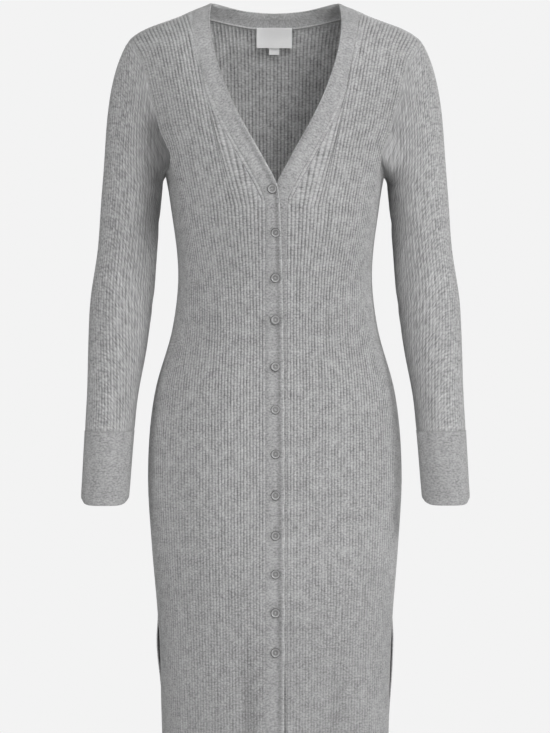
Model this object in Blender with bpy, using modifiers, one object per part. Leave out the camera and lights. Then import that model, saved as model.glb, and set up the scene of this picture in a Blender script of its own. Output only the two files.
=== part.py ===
# Ribbed, button-through sweater dress: hollow, filled out as it is worn, size S.
# Metres, +Z up. The front faces -Y and the wearer's left is +X. The origin lies between the
# shoulder seams. A height is given as a drop, measured down from the shoulder's neck end.

import math

import bmesh
import bpy
import numpy as np
from mathutils import Matrix, Vector

# ---- cloth ----------------------------------------------------------------------------------
WALL = 0.0012            # cloth between the valleys of the rib and the plain inside
RIB_RISE = 0.0009        # how far a rib stands above its valleys
SEAM_GAP = 0.0007        # between two pieces that are sewn together
LAYER_GAP = 0.0003       # between two pieces that lie on each other
KNIT_GREY = (0.335, 0.335, 0.335)
PLAIN_GREY = (0.350, 0.350, 0.350)
BUTTON_GREY = (0.240, 0.240, 0.245)
LABEL_GREY = (0.640, 0.640, 0.640)

# ---- lengths --------------------------------------------------------------------------------
NECK_HEIGHT = 0.025      # the shoulder's neck end above the origin
LENGTH = 1.200           # to the hem
SLIT_DROP = 0.790        # top of the side slits
UNDERARM_DROP = 0.2227
SHOULDER_DROP = 0.0468   # outer end of the shoulder seam
CHEST_DROP = 0.270       # where the straight ribs end at the centre and begin to fan
SEAM_HALF_WIDTH = 0.0135     # centre line to the seam between front and band

# ---- ribs -----------------------------------------------------------------------------------
FRONT_RIBS = 47          # band to side seam
BACK_RIBS = 50           # centre back to side seam
SLEEVE_RIBS = 60         # all round
FRONT_NECK_SHARE = 0.585   # share of a front's ribs that end at the band, the rest at the shoulder
BACK_NECK_SHARE = 0.44
RIB_STEEPEST = 0.45      # a rib stands up no more than this share of its columns' spacing
PLAIN_EDGE = 2.0         # ribs over which the relief fades out beside a seam
INSIDE_STEP = 8          # the inside keeps one column in this many

# ---- the body's rings: how far the cloth lies from the centre, at each drop -------------------
# centre_ease says how much wider a rib is at the middle of a panel than on average.
BODY_COLUMNS = ("drop", "half_width", "front_depth", "back_depth", "centre_ease")
BODY = (
    (0.0000, 0.0820, 0.012, 0.0470, 1.00),
    (0.0088, 0.1070, 0.027, 0.0515, 1.00),
    (0.0156, 0.1220, 0.037, 0.0560, 1.00),
    (0.0234, 0.1430, 0.046, 0.0600, 1.00),
    (0.0312, 0.1640, 0.055, 0.0640, 1.00),
    (0.0468, 0.1885, 0.066, 0.0700, 1.00),
    (0.0760, 0.1875, 0.079, 0.0790, 1.02),
    (0.1080, 0.1815, 0.089, 0.0860, 1.04),
    (0.1460, 0.1690, 0.098, 0.0920, 1.12),
    (0.1800, 0.1570, 0.105, 0.0950, 1.20),
    (0.2227, 0.1416, 0.113, 0.0955, 1.25),
    (0.2700, 0.1336, 0.113, 0.0920, 1.25),
    (0.3600, 0.1251, 0.092, 0.0720, 1.18),
    (0.4200, 0.1321, 0.092, 0.0820, 1.08),
    (0.5000, 0.1538, 0.100, 0.1020, 0.98),
    (0.6100, 0.1638, 0.105, 0.1180, 0.91),
    (0.7000, 0.1592, 0.104, 0.1140, 0.93),
    (0.8000, 0.1512, 0.102, 0.1080, 0.95),
    (0.9460, 0.1464, 0.100, 0.1010, 0.95),
    (1.2000, 0.1380, 0.095, 0.0950, 0.96),
)
ROUNDNESS = 2.3          # exponent of each ring: 2 is an ellipse, more is squarer
BODY_ROWS = (1.200, 0.800, 0.610, 0.480, 0.360)          # drops of the rings below the chest
YOKE_ROWS = (0.0, 0.12, 0.33, 0.57, 0.79, 0.92, 1.0)     # shares of the way from chest to top

# ---- seam between body and sleeve, seen from the front --------------------------------------
ARMHOLE = (              # drop and x, from under the arm to the shoulder
    (0.2227, 0.1416), (0.2174, 0.1391), (0.2079, 0.1348), (0.1957, 0.1355), (0.1721, 0.1465),
    (0.1503, 0.1525), (0.1236, 0.1595), (0.0958, 0.1663), (0.0764, 0.1723), (0.0589, 0.1826),
    (0.0468, 0.1885),
)

# ---- the band: its free edge and its seam, from hem to shoulder and on to the centre back ------
# Below the V the free edge crosses the centre line, where the two bands lie on each other.
BAND = (                 # face, edge x, edge drop, seam x, seam drop
    (-1, -0.0100, 1.2000, 0.0135, 1.2000),
    (-1, -0.0100, 0.8000, 0.0135, 0.8000),
    (-1, -0.0098, 0.6100, 0.0135, 0.6100),
    (-1, -0.0092, 0.4800, 0.0135, 0.4800),
    (-1, -0.0080, 0.3600, 0.0135, 0.3600),
    (-1, -0.0046, 0.2680, 0.0136, 0.2700),
    (-1, 0.0000, 0.2412, 0.0190, 0.2500),
    (-1, 0.0121, 0.2166, 0.0308, 0.2268),
    (-1, 0.0247, 0.1935, 0.0436, 0.2038),
    (-1, 0.0422, 0.1617, 0.0612, 0.1713),
    (-1, 0.0589, 0.1272, 0.0786, 0.1357),
    (-1, 0.0714, 0.0938, 0.0915, 0.1012),
    (-1, 0.0788, 0.0670, 0.0998, 0.0720),
    (-1, 0.0837, 0.0366, 0.1052, 0.0388),
    (-1, 0.0838, 0.0130, 0.1066, 0.0190),
    (0, 0.0820, 0.0000, 0.1070, 0.0088),
    (1, 0.0755, 0.0008, 0.1000, 0.0100),
    (1, 0.0620, 0.0018, 0.0840, 0.0129),
    (1, 0.0430, 0.0032, 0.0600, 0.0176),
    (1, 0.0220, 0.0043, 0.0310, 0.0222),
    (1, 0.0000, 0.0050, 0.0000, 0.0240),
)
BAND_ACROSS = 4          # strips across the band's width
BAND_WALL = 0.0011
BAND_FOOT = 5.3          # the row of the table, between two, where the V begins
BAND_CLOSER = (5.3, 5.65, 11.33, 11.67, 12.33, 12.67, 13.33, 13.67, 14.5, 15.5)  # rows between rows
LAP_DROP = 0.240         # below this the two bands lie on each other
PART_DROP = 0.170        # above this they lie at the same depth

# ---- sleeve rings, the arm hanging a little forward -----------------------------------------
SLEEVE_COLUMNS = ("drop", "x", "y", "half_width", "half_depth", "centre_ease")
SLEEVE = (
    (0.2390, 0.1848, -0.002, 0.0385, 0.050, 0.85),
    (0.3220, 0.1918, -0.008, 0.0379, 0.044, 0.95),
    (0.3850, 0.1982, -0.016, 0.0400, 0.040, 1.00),
    (0.4470, 0.2040, -0.026, 0.0371, 0.036, 1.10),
    (0.5100, 0.2095, -0.036, 0.0322, 0.034, 1.15),
    (0.5530, 0.2128, -0.040, 0.0312, 0.033, 1.20),
    (0.6473, 0.2187, -0.047, 0.0299, 0.032, 1.20),
)
SLEEVE_ROWS = (0.310, 0.390, 0.553)
CAP_ROWS = (0.0, 0.27, 0.62, 1.0)    # shares of the way from the armhole to the first ring
CAP_LEAN_TOP = math.radians(35)      # how far the cap leaves the armhole outwards, at the top
CAP_LEAN_SIDE = math.radians(24)     # and at its front and back
CAP_LEAN_UNDER = math.radians(46)    # and under the arm
CAP_SWELL = 0.18                     # how far it swells forwards and backwards
CAP_PULL_START = 0.85                # how far each direction is kept, as a share of the cap
CAP_PULL_END = 1.0
TANGENT_STEP = 0.010                 # the drop over which the first ring's direction is read
CUFF_DROPS = (0.5534, 0.6473)
CUFF_SIDES = 24
CUFF_WALL = 0.0015

# ---- skirt folds: soft troughs that deepen towards the hem -----------------------------------
FOLDS = (                # face, x, drop of the top, depth at the hem, half width
    (-1, -0.036, 0.780, 0.0055, 0.0085),
    (-1, 0.080, 0.820, 0.0035, 0.0100),
    (1, -0.062, 0.760, 0.0045, 0.0120),
    (1, 0.044, 0.800, 0.0035, 0.0110),
)
SLIT_LOCAL = 8           # how closely that keeps to the edge
SLIT_SPREAD = 0.0018     # how far the back's slit edge stands out past the front's

# ---- buttons and label ----------------------------------------------------------------------
BUTTON_DROPS = (
    0.2480, 0.3021, 0.3587, 0.4117, 0.4710, 0.5250,
    0.5809, 0.6328, 0.6834, 0.7320, 0.7807, 0.8307,
)
BUTTON_X = -0.0012
TOP_BUTTON_X = -0.0056    # the one at the V is sewn nearer the seam
BUTTON_RADIUS = 0.006
BUTTON_HEIGHT = 0.0024
BUTTON_STEPS = 10
LABEL_WIDTH = 0.047
LABEL_TOP_DROP = 0.0215
LABEL_END_DROP = 0.0463
TAB_WIDTH = 0.014
TAB_END_DROP = 0.0553
LABEL_WALL = 0.0005
TAB_DEPTH = 0.0018        # below the cloth's outer side
LABEL_DEPTH = 0.0026
LABEL_ACROSS = 6


FINE = 240               # points on a line that is only measured


# ---- reading the tables ---------------------------------------------------------------------
def smooth(keys, values):
    """A smooth function through (key, value) pairs whose keys rise."""
    keys, values = np.array(keys, float), np.array(values, float)
    slopes = np.gradient(values, keys, axis=0)

    def read(where):
        where = np.clip(np.asarray(where, float), keys[0], keys[-1])
        i = np.clip(np.searchsorted(keys, where) - 1, 0, len(keys) - 2)
        span = keys[i + 1] - keys[i]
        t = (where - keys[i]) / span
        if values.ndim > 1:
            t, span = t[..., None], span[..., None]
        return (
            (1 + 2 * t) * (1 - t) ** 2 * values[i]
            + t * (1 - t) ** 2 * span * slopes[i]
            + t * t * (3 - 2 * t) * values[i + 1]
            - t * t * (1 - t) * span * slopes[i + 1]
        )

    return read


def column(rows, names, name):
    """One named column of a table as a smooth function of the table's first column."""
    return smooth([row[0] for row in rows], [row[names.index(name)] for row in rows])


half_width, front_depth, back_depth, body_ease = (
    column(BODY, BODY_COLUMNS, name) for name in BODY_COLUMNS[1:]
)
sleeve_x, sleeve_y, sleeve_half_width, sleeve_half_depth, sleeve_ease = (
    column(SLEEVE, SLEEVE_COLUMNS, name) for name in SLEEVE_COLUMNS[1:]
)


def ease_share(share, ease):
    """Moves rib positions so that ribs at the middle (0) are wider than those at the side (1)."""
    return ease * share - (ease - 1) * share ** 3


def blend(low, high, where):
    """0 below low, 1 above high, smooth between."""
    t = np.clip((np.asarray(where, float) - low) / (high - low), 0, 1)
    return t * t * (3 - 2 * t)


# ---- the surface that every body piece lies on ------------------------------------------------
def body_point(face, x, drop):
    """The cloth's surface at a place seen from the front; face is -1 in front, +1 behind."""
    x, drop = np.broadcast_arrays(np.asarray(x, float), np.asarray(drop, float))
    depth = np.where(np.asarray(face) < 0, front_depth(drop), back_depth(drop))
    inside = np.clip(1 - (np.abs(x) / half_width(drop)) ** ROUNDNESS, 0, None)
    return np.stack([x, face * depth * inside ** (1 / ROUNDNESS), NECK_HEIGHT - drop], -1)


def x_along_ring(face, start_x, drop, share):
    """The x that lies a share of the way round a ring from start_x to the side seam."""
    angle = np.linspace(0, math.pi / 2, FINE)
    x = half_width(drop) * np.sin(angle) ** (2 / ROUNDNESS)
    points = body_point(face, x, drop)
    length = np.r_[0, np.cumsum(np.linalg.norm(np.diff(points, axis=0), axis=1))]
    start = np.interp(start_x, x, length)
    return np.interp(start + share * (length[-1] - start), length, x)


def along(points):
    """A line's points as a function of the share of its length."""
    points = np.asarray(points, float)
    length = np.r_[0, np.cumsum(np.linalg.norm(np.diff(points, axis=0), axis=1))]
    length /= length[-1]
    return lambda share: np.stack([np.interp(share, length, p) for p in points.T], -1)


def through(points):
    """A smooth line through points, as a function of the share of its length."""
    return along(smooth(range(len(points)), points)(np.linspace(0, len(points) - 1, FINE)))


armhole_at = through([(x, drop) for drop, x in ARMHOLE])
band_edge = smooth(range(len(BAND)), [row[1:3] for row in BAND])
band_seam = smooth(range(len(BAND)), [row[3:5] for row in BAND])
RIDGE = [row[0] for row in BAND].index(0)


def seam_line(face):
    """The band's seam on one face as (x, drop) points, from its low end to the shoulder."""
    low_end = BAND_FOOT if face < 0 else len(BAND) - 1
    return band_seam(np.linspace(low_end, RIDGE, FINE))


def shoulder_line():
    """The shoulder seam as (x, drop) points, from the band to the armhole."""
    drop = np.linspace(BAND[RIDGE][4], SHOULDER_DROP, FINE)
    return np.stack([half_width(drop), drop], -1)


def top_edge(face, shares, neck_share):
    """Where the ribs end: along the band's seam, then along the shoulder seam."""
    neck = seam_line(face)
    steps = np.linalg.norm(np.diff(neck, axis=0), axis=1)
    by_length = np.r_[0, np.cumsum(steps)] / steps.sum()
    by_x = (neck[:, 0] - neck[0, 0]) / (neck[-1, 0] - neck[0, 0])
    neck_key = (by_length + by_x) / 2
    shoulder = along(shoulder_line())
    points = []
    for share in shares:
        if share <= neck_share:
            key = share / neck_share
            points.append([np.interp(key, neck_key, line) for line in neck.T])
        else:
            points.append(shoulder((share - neck_share) / (1 - neck_share)))
    return np.array(points)


# ---- panels ---------------------------------------------------------------------------------
def half_panel(face, start_x, ribs, neck_share):
    """The (x, drop) grid of one half of a panel, hem first, with two columns for each rib.

    Above the chest the columns fan out between the centre and the bowed armhole.
    """
    shares = np.linspace(0, 1, 2 * ribs + 1)
    corner = round(neck_share * 2 * ribs)
    shares_top = np.interp(np.arange(2 * ribs + 1), [0, corner, 2 * ribs], [0, neck_share, 1])
    rows = []
    for drop in BODY_ROWS:
        x = x_along_ring(face, start_x, drop, ease_share(shares, float(body_ease(drop))))
        rows.append(np.stack([x, np.full_like(x, drop)], -1))
    chest_drop = CHEST_DROP + (UNDERARM_DROP - CHEST_DROP) * shares ** 2
    ease = float(body_ease(UNDERARM_DROP))
    chest = np.array([
        (float(x_along_ring(face, start_x, drop, ease_share(share, ease))), drop)
        for share, drop in zip(shares, chest_drop)
    ])
    top = top_edge(face, shares_top, neck_share)
    chest[-1], top[-1] = armhole_at(0.0), armhole_at(1.0)
    for r in YOKE_ROWS:
        straight = chest + (top - chest) * r
        rows.append(straight + np.outer(shares, armhole_at(r) - straight[-1]))
    return np.array(rows)


def normals_of(points, around=False):
    """Outward normals of a grid of points, row by row; around closes each row to a ring."""
    if around:
        across = np.roll(points, -1, axis=1) - np.roll(points, 1, axis=1)
    else:
        across = np.gradient(points, axis=1)
    up = np.gradient(points, axis=0)
    normal = np.cross(across, up)
    return normal / np.linalg.norm(normal, axis=-1, keepdims=True)


def fold_in(points, normals, face):
    """Presses the skirt's soft folds into a panel."""
    drop = NECK_HEIGHT - points[..., 2]
    depth = np.zeros(drop.shape)
    for side, x, top, hem_depth, width in FOLDS:
        if side == face:
            deep = hem_depth * blend(top, LENGTH, drop)
            depth += deep * np.exp(-(((points[..., 0] - x) / width) ** 2))
    return points - normals * depth[..., None]


def draw_back(points, edge):
    """Draws one edge of a grid back from its seam by half the seam's gap."""
    grid = {
        "first": points.transpose(1, 0, 2),
        "last": points[:, ::-1].transpose(1, 0, 2),
        "top": points[::-1],
        "low": points,
    }[edge]
    line, inner = grid[0].copy(), grid[1]
    tangent = np.gradient(line, axis=0)
    tangent /= np.linalg.norm(tangent, axis=-1, keepdims=True)
    inward = inner - line
    inward -= tangent * (inward * tangent).sum(-1, keepdims=True)
    inward /= np.linalg.norm(inward, axis=-1, keepdims=True)
    grid[0] = line + inward * SEAM_GAP / 2


def rib_rise(points, plain):
    """How far each point stands up: every other column is a rib, plain beside the named edges."""
    columns = points.shape[1]
    ribs_in = np.arange(columns) / 2
    fade = np.ones(columns)
    if "first" in plain:
        fade *= np.clip(ribs_in / PLAIN_EDGE, 0, 1)
    if "last" in plain:
        fade *= np.clip(ribs_in[::-1] / PLAIN_EDGE, 0, 1)
    spacing = np.linalg.norm(np.gradient(points, axis=1), axis=-1)
    return np.minimum(RIB_RISE, RIB_STEEPEST * spacing) * fade * (np.arange(columns) % 2)


# ---- closed walls ---------------------------------------------------------------------------
def cloth(name, colour, roughness):
    material = bpy.data.materials.new(name)
    material.use_nodes = True
    shader = material.node_tree.nodes["Principled BSDF"]
    shader.inputs["Base Color"].default_value = (*colour, 1.0)
    shader.inputs["Roughness"].default_value = roughness
    shader.inputs["Metallic"].default_value = 0.0
    return material


def add_object(name, mesh, colour, roughness=0.9):
    mesh.materials.append(cloth(name, colour, roughness))
    thing = bpy.data.objects.new(name, mesh)
    dress.objects.link(thing)
    return thing


def rim(outer, inner, picks):
    """Triangles between an outer edge and an inner edge that keeps only the picked points."""
    faces = []
    for i, (low, high) in enumerate(zip(picks, picks[1:])):
        middle = (low + high) // 2
        for c in range(low, high):
            faces.append((outer[c], outer[c + 1], inner[i if c < middle else i + 1]))
        faces.append((outer[middle], inner[i + 1], inner[i]))
    return faces


def wall(name, outer, inner, picks, colour, around=False):
    """A closed wall between an outer grid and an inner grid that keeps the picked columns."""
    rows, columns = outer.shape[:2]
    kept = inner.shape[1]
    outer_index = np.arange(rows * columns).reshape(rows, columns)
    inner_index = rows * columns + np.arange(rows * kept).reshape(rows, kept)
    if around:
        outer_index = np.c_[outer_index, outer_index[:, :1]]
        inner_index = np.c_[inner_index, inner_index[:, :1]]
        picks = [*picks, columns]
    faces = []
    for index in (outer_index, inner_index):
        for r in range(rows - 1):
            for c in range(index.shape[1] - 1):
                a, b = index[r, c], index[r, c + 1]
                d, e = index[r + 1, c + 1], index[r + 1, c]
                faces += [(a, b, d), (a, d, e)]
    faces += rim(outer_index[0], inner_index[0], picks)
    faces += rim(outer_index[-1], inner_index[-1], picks)
    if not around:
        for side in (0, -1):
            faces += rim(outer_index[:, side], inner_index[:, side], list(range(rows)))
    mesh = bpy.data.meshes.new(name)
    corners = np.concatenate([outer.reshape(-1, 3), inner.reshape(-1, 3)])
    mesh.from_pydata(corners.tolist(), [], [tuple(map(int, face)) for face in faces])
    work = bmesh.new()
    work.from_mesh(mesh)
    bmesh.ops.recalc_face_normals(work, faces=work.faces[:])
    work.to_mesh(mesh)
    work.free()
    return add_object(name, mesh, colour)


def picked(columns, corners=()):
    """Every INSIDE_STEP-th column, with both ends and the piece's corners."""
    steps = round((columns - 1) / INSIDE_STEP)
    even = {round(i * (columns - 1) / steps) for i in range(steps + 1)}
    return sorted(even | set(corners))


def flipped(vectors, to_left):
    """Keeps a piece of the wearer's left (+X) or mirrors it to the right."""
    return vectors * np.array([1.0 if to_left else -1.0, 1.0, 1.0])


# ---- fronts and back ------------------------------------------------------------------------
def half_surface(face, start_x, ribs, neck_share):
    """Points and normals of half a panel, and the column that meets the neck's corner."""
    grid = half_panel(face, start_x, ribs, neck_share)
    points = body_point(face, grid[..., 0], grid[..., 1])
    corner = round(neck_share * 2 * ribs)
    points[-1, corner:, 1] = 0.0
    points[: len(BODY_ROWS) + 1, -1, 1] = 0.0
    normals = normals_of(points) * -face
    normals[-1, corner:, 1] = 0.0
    normals[: len(BODY_ROWS) + 1, -1, 1] = 0.0
    normals /= np.linalg.norm(normals, axis=-1, keepdims=True)
    return points, normals, corner


def make_front(name, to_left):
    points, normals, corner = half_surface(-1, SEAM_HALF_WIDTH, FRONT_RIBS, FRONT_NECK_SHARE)
    points, normals = flipped(points, to_left), flipped(normals, to_left)
    points = fold_in(points, normals, -1)
    rise = rib_rise(points, ("first", "last"))
    for edge in ("first", "last", "top"):
        draw_back(points, edge)
    picks = picked(points.shape[1], [corner])
    outer = points + normals * rise[..., None]
    wall(name, outer, points[:, picks] - normals[:, picks] * WALL, picks, KNIT_GREY)


def make_back():
    points, normals, corner = half_surface(1, 0.0, BACK_RIBS, BACK_NECK_SHARE)
    shares = np.linspace(0, 1, points.shape[1])
    open_slit = blend(SLIT_DROP, LENGTH, NECK_HEIGHT - points[..., 2]) * shares ** SLIT_LOCAL
    points += open_slit[..., None] * np.array([SLIT_SPREAD, SLIT_SPREAD, 0.0])
    points = np.concatenate([flipped(points[:, :0:-1], False), points], axis=1)
    normals = np.concatenate([flipped(normals[:, :0:-1], False), normals], axis=1)
    points = fold_in(points, normals, 1)
    rise = rib_rise(points, ("first", "last"))
    for edge in ("first", "last", "top"):
        draw_back(points, edge)
    centre = 2 * BACK_RIBS
    picks = picked(points.shape[1], [centre - corner, centre, centre + corner])
    outer = points + normals * rise[..., None]
    wall("back", outer, points[:, picks] - normals[:, picks] * WALL, picks, KNIT_GREY)


# ---- bands ----------------------------------------------------------------------------------
def band_surface():
    """Points and normals of the left band, from the hem over the shoulder to the centre back."""
    share = np.linspace(0, 1, BAND_ACROSS + 1)[:, None]
    rows = []
    for key in sorted({*range(len(BAND)), *BAND_CLOSER}):
        places = band_edge(key) + (band_seam(key) - band_edge(key)) * share
        points = body_point(-1 if key < RIDGE else 1, places[:, 0], places[:, 1])
        if key == RIDGE:
            points[:, 1] = 0.0
        rows.append(points)
    points = np.array(rows)
    normals = normals_of(points)
    normals[-1, :, 0] = 0.0
    normals /= np.linalg.norm(normals, axis=-1, keepdims=True)
    return points, normals


def make_band(name, to_left):
    points, normals = band_surface()
    lap = blend(PART_DROP, LAP_DROP, NECK_HEIGHT - points[..., 2]) * (points[..., 1] < 0)
    layer = (BAND_WALL + LAYER_GAP) / 2 * (-1 if to_left else 1)
    points = flipped(points, to_left)
    normals = flipped(normals, to_left)
    for edge in ("last", "top"):
        draw_back(points, edge)
    middle = points + normals * (lap * layer)[..., None]
    outer, inner = middle + normals * BAND_WALL / 2, middle - normals * BAND_WALL / 2
    wall(name, outer, inner, list(range(BAND_ACROSS + 1)), PLAIN_GREY)
    return outer, normals


# ---- sleeves and cuffs ----------------------------------------------------------------------
def sleeve_shares(columns, ease):
    """Shares of the way from the shoulder line to the underarm, denser or wider in the middle."""
    place = np.linspace(-1, 1, columns // 2 + 1)
    return (1 + ease_share(place, ease)) / 2


def both_halves(front, back):
    """One ring: down the front half from the shoulder line, then up the back half."""
    return np.concatenate([front, back[-2:0:-1]])


def sleeve_ring(drop, columns, ease=None):
    """A ring of the sleeve at one drop."""
    ease = float(sleeve_ease(drop)) if ease is None else ease
    halves = []
    for face in (-1, 1):
        angle = np.linspace(0, math.pi, FINE)
        x = sleeve_x(drop) + sleeve_half_width(drop) * np.cos(angle)
        y = sleeve_y(drop) + face * sleeve_half_depth(drop) * np.sin(angle)
        line = along(np.stack([x, y, np.full_like(x, NECK_HEIGHT - drop)], -1))
        halves.append(line(sleeve_shares(columns, ease)))
    return both_halves(*halves)


def armhole_ring(columns):
    """The armhole's edge, through the same corners as the body's edge."""
    halves = []
    shares = 1 - sleeve_shares(columns, 1.0)
    for face in (-1, 1):
        places = np.array([armhole_at(r) for r in YOKE_ROWS])
        corners = body_point(face, places[:, 0], places[:, 1])
        corners[[0, -1], 1] = 0.0
        halves.append(np.stack([np.interp(shares, YOKE_ROWS, c) for c in corners.T], -1))
    return both_halves(*halves)


def cap_rows(columns):
    """The sleeve's cap: from the armhole, out and down to the sleeve's first ring."""
    start = armhole_ring(columns)
    first = SLEEVE[0][0]
    end = sleeve_ring(first, columns)
    down = sleeve_ring(first + TANGENT_STEP, columns, float(sleeve_ease(first))) - end
    down /= np.linalg.norm(down, axis=-1, keepdims=True)
    share = sleeve_shares(columns, 1.0)
    share = both_halves(share, share)
    side = np.sin(math.pi * share)
    lean = CAP_LEAN_TOP * (1 - share) ** 2 + CAP_LEAN_SIDE * side + CAP_LEAN_UNDER * share ** 2
    face = np.sign(start[:, 1])
    leave = np.stack([np.sin(lean), CAP_SWELL * side * face, -np.cos(lean)], -1)
    leave /= np.linalg.norm(leave, axis=-1, keepdims=True)
    reach = np.linalg.norm(end - start, axis=-1, keepdims=True)
    rows = []
    for u in CAP_ROWS:
        rows.append(
            (1 + 2 * u) * (1 - u) ** 2 * start
            + u * (1 - u) ** 2 * reach * CAP_PULL_START * leave
            + u * u * (3 - 2 * u) * end
            - u * u * (1 - u) * reach * CAP_PULL_END * down
        )
    return rows


def make_sleeve(name, to_left):
    columns = 2 * SLEEVE_RIBS
    points = np.array(cap_rows(columns) + [sleeve_ring(drop, columns) for drop in SLEEVE_ROWS])
    normals = normals_of(points, around=True)
    rise = rib_rise(points, ())
    rise[0] = 0.0
    draw_back(points, "low")
    picks = picked(columns + 1)[:-1]
    outer = flipped(points + normals * rise[..., None], to_left)
    inner = flipped(points[:, picks] - normals[:, picks] * WALL, to_left)
    wall(name, outer, inner, picks, KNIT_GREY, around=True)


def make_cuff(name, to_left):
    points = np.array([sleeve_ring(drop, CUFF_SIDES, 1.0) for drop in CUFF_DROPS])
    normals = normals_of(points, around=True)
    outer = flipped(points + normals * (CUFF_WALL - WALL), to_left)
    inner = flipped(points - normals * WALL, to_left)
    wall(name, outer, inner, list(range(CUFF_SIDES)), PLAIN_GREY, around=True)


# ---- buttons and label ----------------------------------------------------------------------
def button_mesh():
    """A button's half section, from the middle of its dished face round the rim to its back."""
    r, h = BUTTON_RADIUS, BUTTON_HEIGHT
    section = ((0, 0.62 * h), (0.62 * r, 0.62 * h), (0.8 * r, h), (r, 0.65 * h), (0.93 * r, 0), (0, 0))
    mesh = bpy.data.meshes.new("button")
    mesh.from_pydata([(x, 0, z) for x, z in section], [(i, i + 1) for i in range(len(section) - 1)], [])
    return mesh


def turned(thing):
    screw = thing.modifiers.new("turn", "SCREW")
    screw.steps = screw.render_steps = BUTTON_STEPS
    screw.use_merge_vertices = True
    screw.merge_threshold = 0.00001
    screw.use_normal_calculate = True


def on_band(outer, normals, x, drop):
    """The place and the outward direction on the top band at one x and drop."""
    low_rows = np.flatnonzero(outer[:, 0, 1] < 0)
    at_x = []
    for row in low_rows:
        order = np.argsort(outer[row, :, 0])
        columns = outer[row, order, 0]
        at_x.append([np.interp(x, columns, values[order])
                     for values in (*outer[row].T, *normals[row].T)])
    at_x = np.array(at_x)
    order = np.argsort(at_x[:, 2])
    found = np.array([np.interp(NECK_HEIGHT - drop, at_x[order, 2], v) for v in at_x[order].T])
    return Vector(found[:3]), Vector(found[3:]).normalized()


def make_buttons(outer, normals):
    for number, drop in enumerate(BUTTON_DROPS, 1):
        x = TOP_BUTTON_X if number == 1 else BUTTON_X
        place, outward = on_band(outer, normals, x, drop)
        proud = 0.0
        for across, down in ((1, 0), (-1, 0), (0, 1), (0, -1)):
            rim_x, rim_drop = x + across * BUTTON_RADIUS, drop + down * BUTTON_RADIUS
            beside = on_band(outer, normals, rim_x, rim_drop)[0]
            proud = max(proud, (beside - place).dot(outward))
        thing = add_object(f"button_{number:02d}", button_mesh(), BUTTON_GREY, 0.35)
        turned(thing)
        seat = place + outward * (proud + LAYER_GAP)
        turn = outward.to_track_quat("Z", "Y").to_matrix().to_4x4()
        thing.matrix_world = Matrix.Translation(seat) @ turn


def make_label(name, width, drops, depth):
    """A flat tape that hangs inside the back neck, this deep below the cloth's outer side."""
    x = np.linspace(-width / 2, width / 2, LABEL_ACROSS + 1)
    points = np.array([body_point(1, x, drop) for drop in drops])
    normals = -normals_of(points)
    outer, inner = points - normals * depth, points - normals * (depth + LABEL_WALL)
    wall(name, outer, inner, list(range(LABEL_ACROSS + 1)), LABEL_GREY)


for old in list(bpy.data.objects):
    bpy.data.objects.remove(old, do_unlink=True)
dress = bpy.data.collections.new("sweater_dress")
bpy.context.scene.collection.children.link(dress)

make_front("front_left", True)
make_front("front_right", False)
make_back()
make_band("band_left", True)
make_buttons(*make_band("band_right", False))
for side, to_left in (("left", True), ("right", False)):
    make_sleeve(f"sleeve_{side}", to_left)
    make_cuff(f"cuff_{side}", to_left)
make_label("neck_label", LABEL_WIDTH, (LABEL_END_DROP, LABEL_TOP_DROP), LABEL_DEPTH)
make_label("label_tab", TAB_WIDTH, (TAB_END_DROP, LABEL_END_DROP, LABEL_TOP_DROP), TAB_DEPTH)
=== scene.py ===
# Looks of the ribbed sweater dress. Front faces -Y, the wearer's left is +X, metres.
import math

import bpy
import numpy as np
from mathutils import Matrix, Vector


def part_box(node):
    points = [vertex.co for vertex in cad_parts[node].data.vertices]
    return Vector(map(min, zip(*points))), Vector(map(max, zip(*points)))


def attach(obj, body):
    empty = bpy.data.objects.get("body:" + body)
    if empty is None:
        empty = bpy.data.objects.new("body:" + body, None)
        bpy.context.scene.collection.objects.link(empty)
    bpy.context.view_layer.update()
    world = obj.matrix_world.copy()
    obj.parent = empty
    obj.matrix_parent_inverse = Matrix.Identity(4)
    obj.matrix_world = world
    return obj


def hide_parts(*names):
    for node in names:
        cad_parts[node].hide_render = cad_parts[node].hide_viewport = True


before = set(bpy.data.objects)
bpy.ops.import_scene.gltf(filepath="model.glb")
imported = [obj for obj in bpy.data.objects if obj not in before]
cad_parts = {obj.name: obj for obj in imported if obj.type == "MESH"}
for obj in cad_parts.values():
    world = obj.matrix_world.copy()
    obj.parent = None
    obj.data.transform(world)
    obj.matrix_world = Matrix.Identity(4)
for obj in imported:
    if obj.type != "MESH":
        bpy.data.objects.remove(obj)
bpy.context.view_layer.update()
scene = bpy.context.scene

# A height is a drop below the shoulder's neck end, which lies 25 mm above the origin.
neckHeight = 0.025
length = 1.200
underarmDrop = 0.2227
shoulderDrop = 0.0468
chestDrop = 0.270
waistDrop = 0.360
slitDrop = 0.790
fine = 240               # points on a line that is only measured
fullTurn = 2 * math.pi

# camera, world and lamps
view = {
    "distance": 3.2, "drop": 0.4706, "height": 0.9529, "sensor": 36.0, "turn": math.radians(1.0),
}
studio = {
    "backdrop": 0.896,       # what the camera sees behind the dress
    "ambientFront": 0.15,    # the soft light from all round, less from behind
    "ambientBack": 0.14,
    "aimDrop": 0.5,
    "floorTones": (0.78, 0.82),
    "floorDrop": 1.46,
    "floorRadius": 2.6,
    "floorSides": 96,
}
lamps = {                    # name: place, size, watts
    "keyLamp": ((2.8, -1.4, 0.8), 0.8, 49),
    "topLamp": ((0.0, -2.2, 2.3), 1.0, 38),
    "frontLamp": ((1.0, -3.4, 0.2), 1.0, 42),
    "leftLamp": ((-2.7, -2.1, 0.3), 1.2, 30),
    "backLamp": ((0.6, 3.2, 1.0), 1.6, 110),
}


def link(name, data):
    thing = bpy.data.objects.new(name, data)
    scene.collection.objects.link(thing)
    return thing


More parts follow.
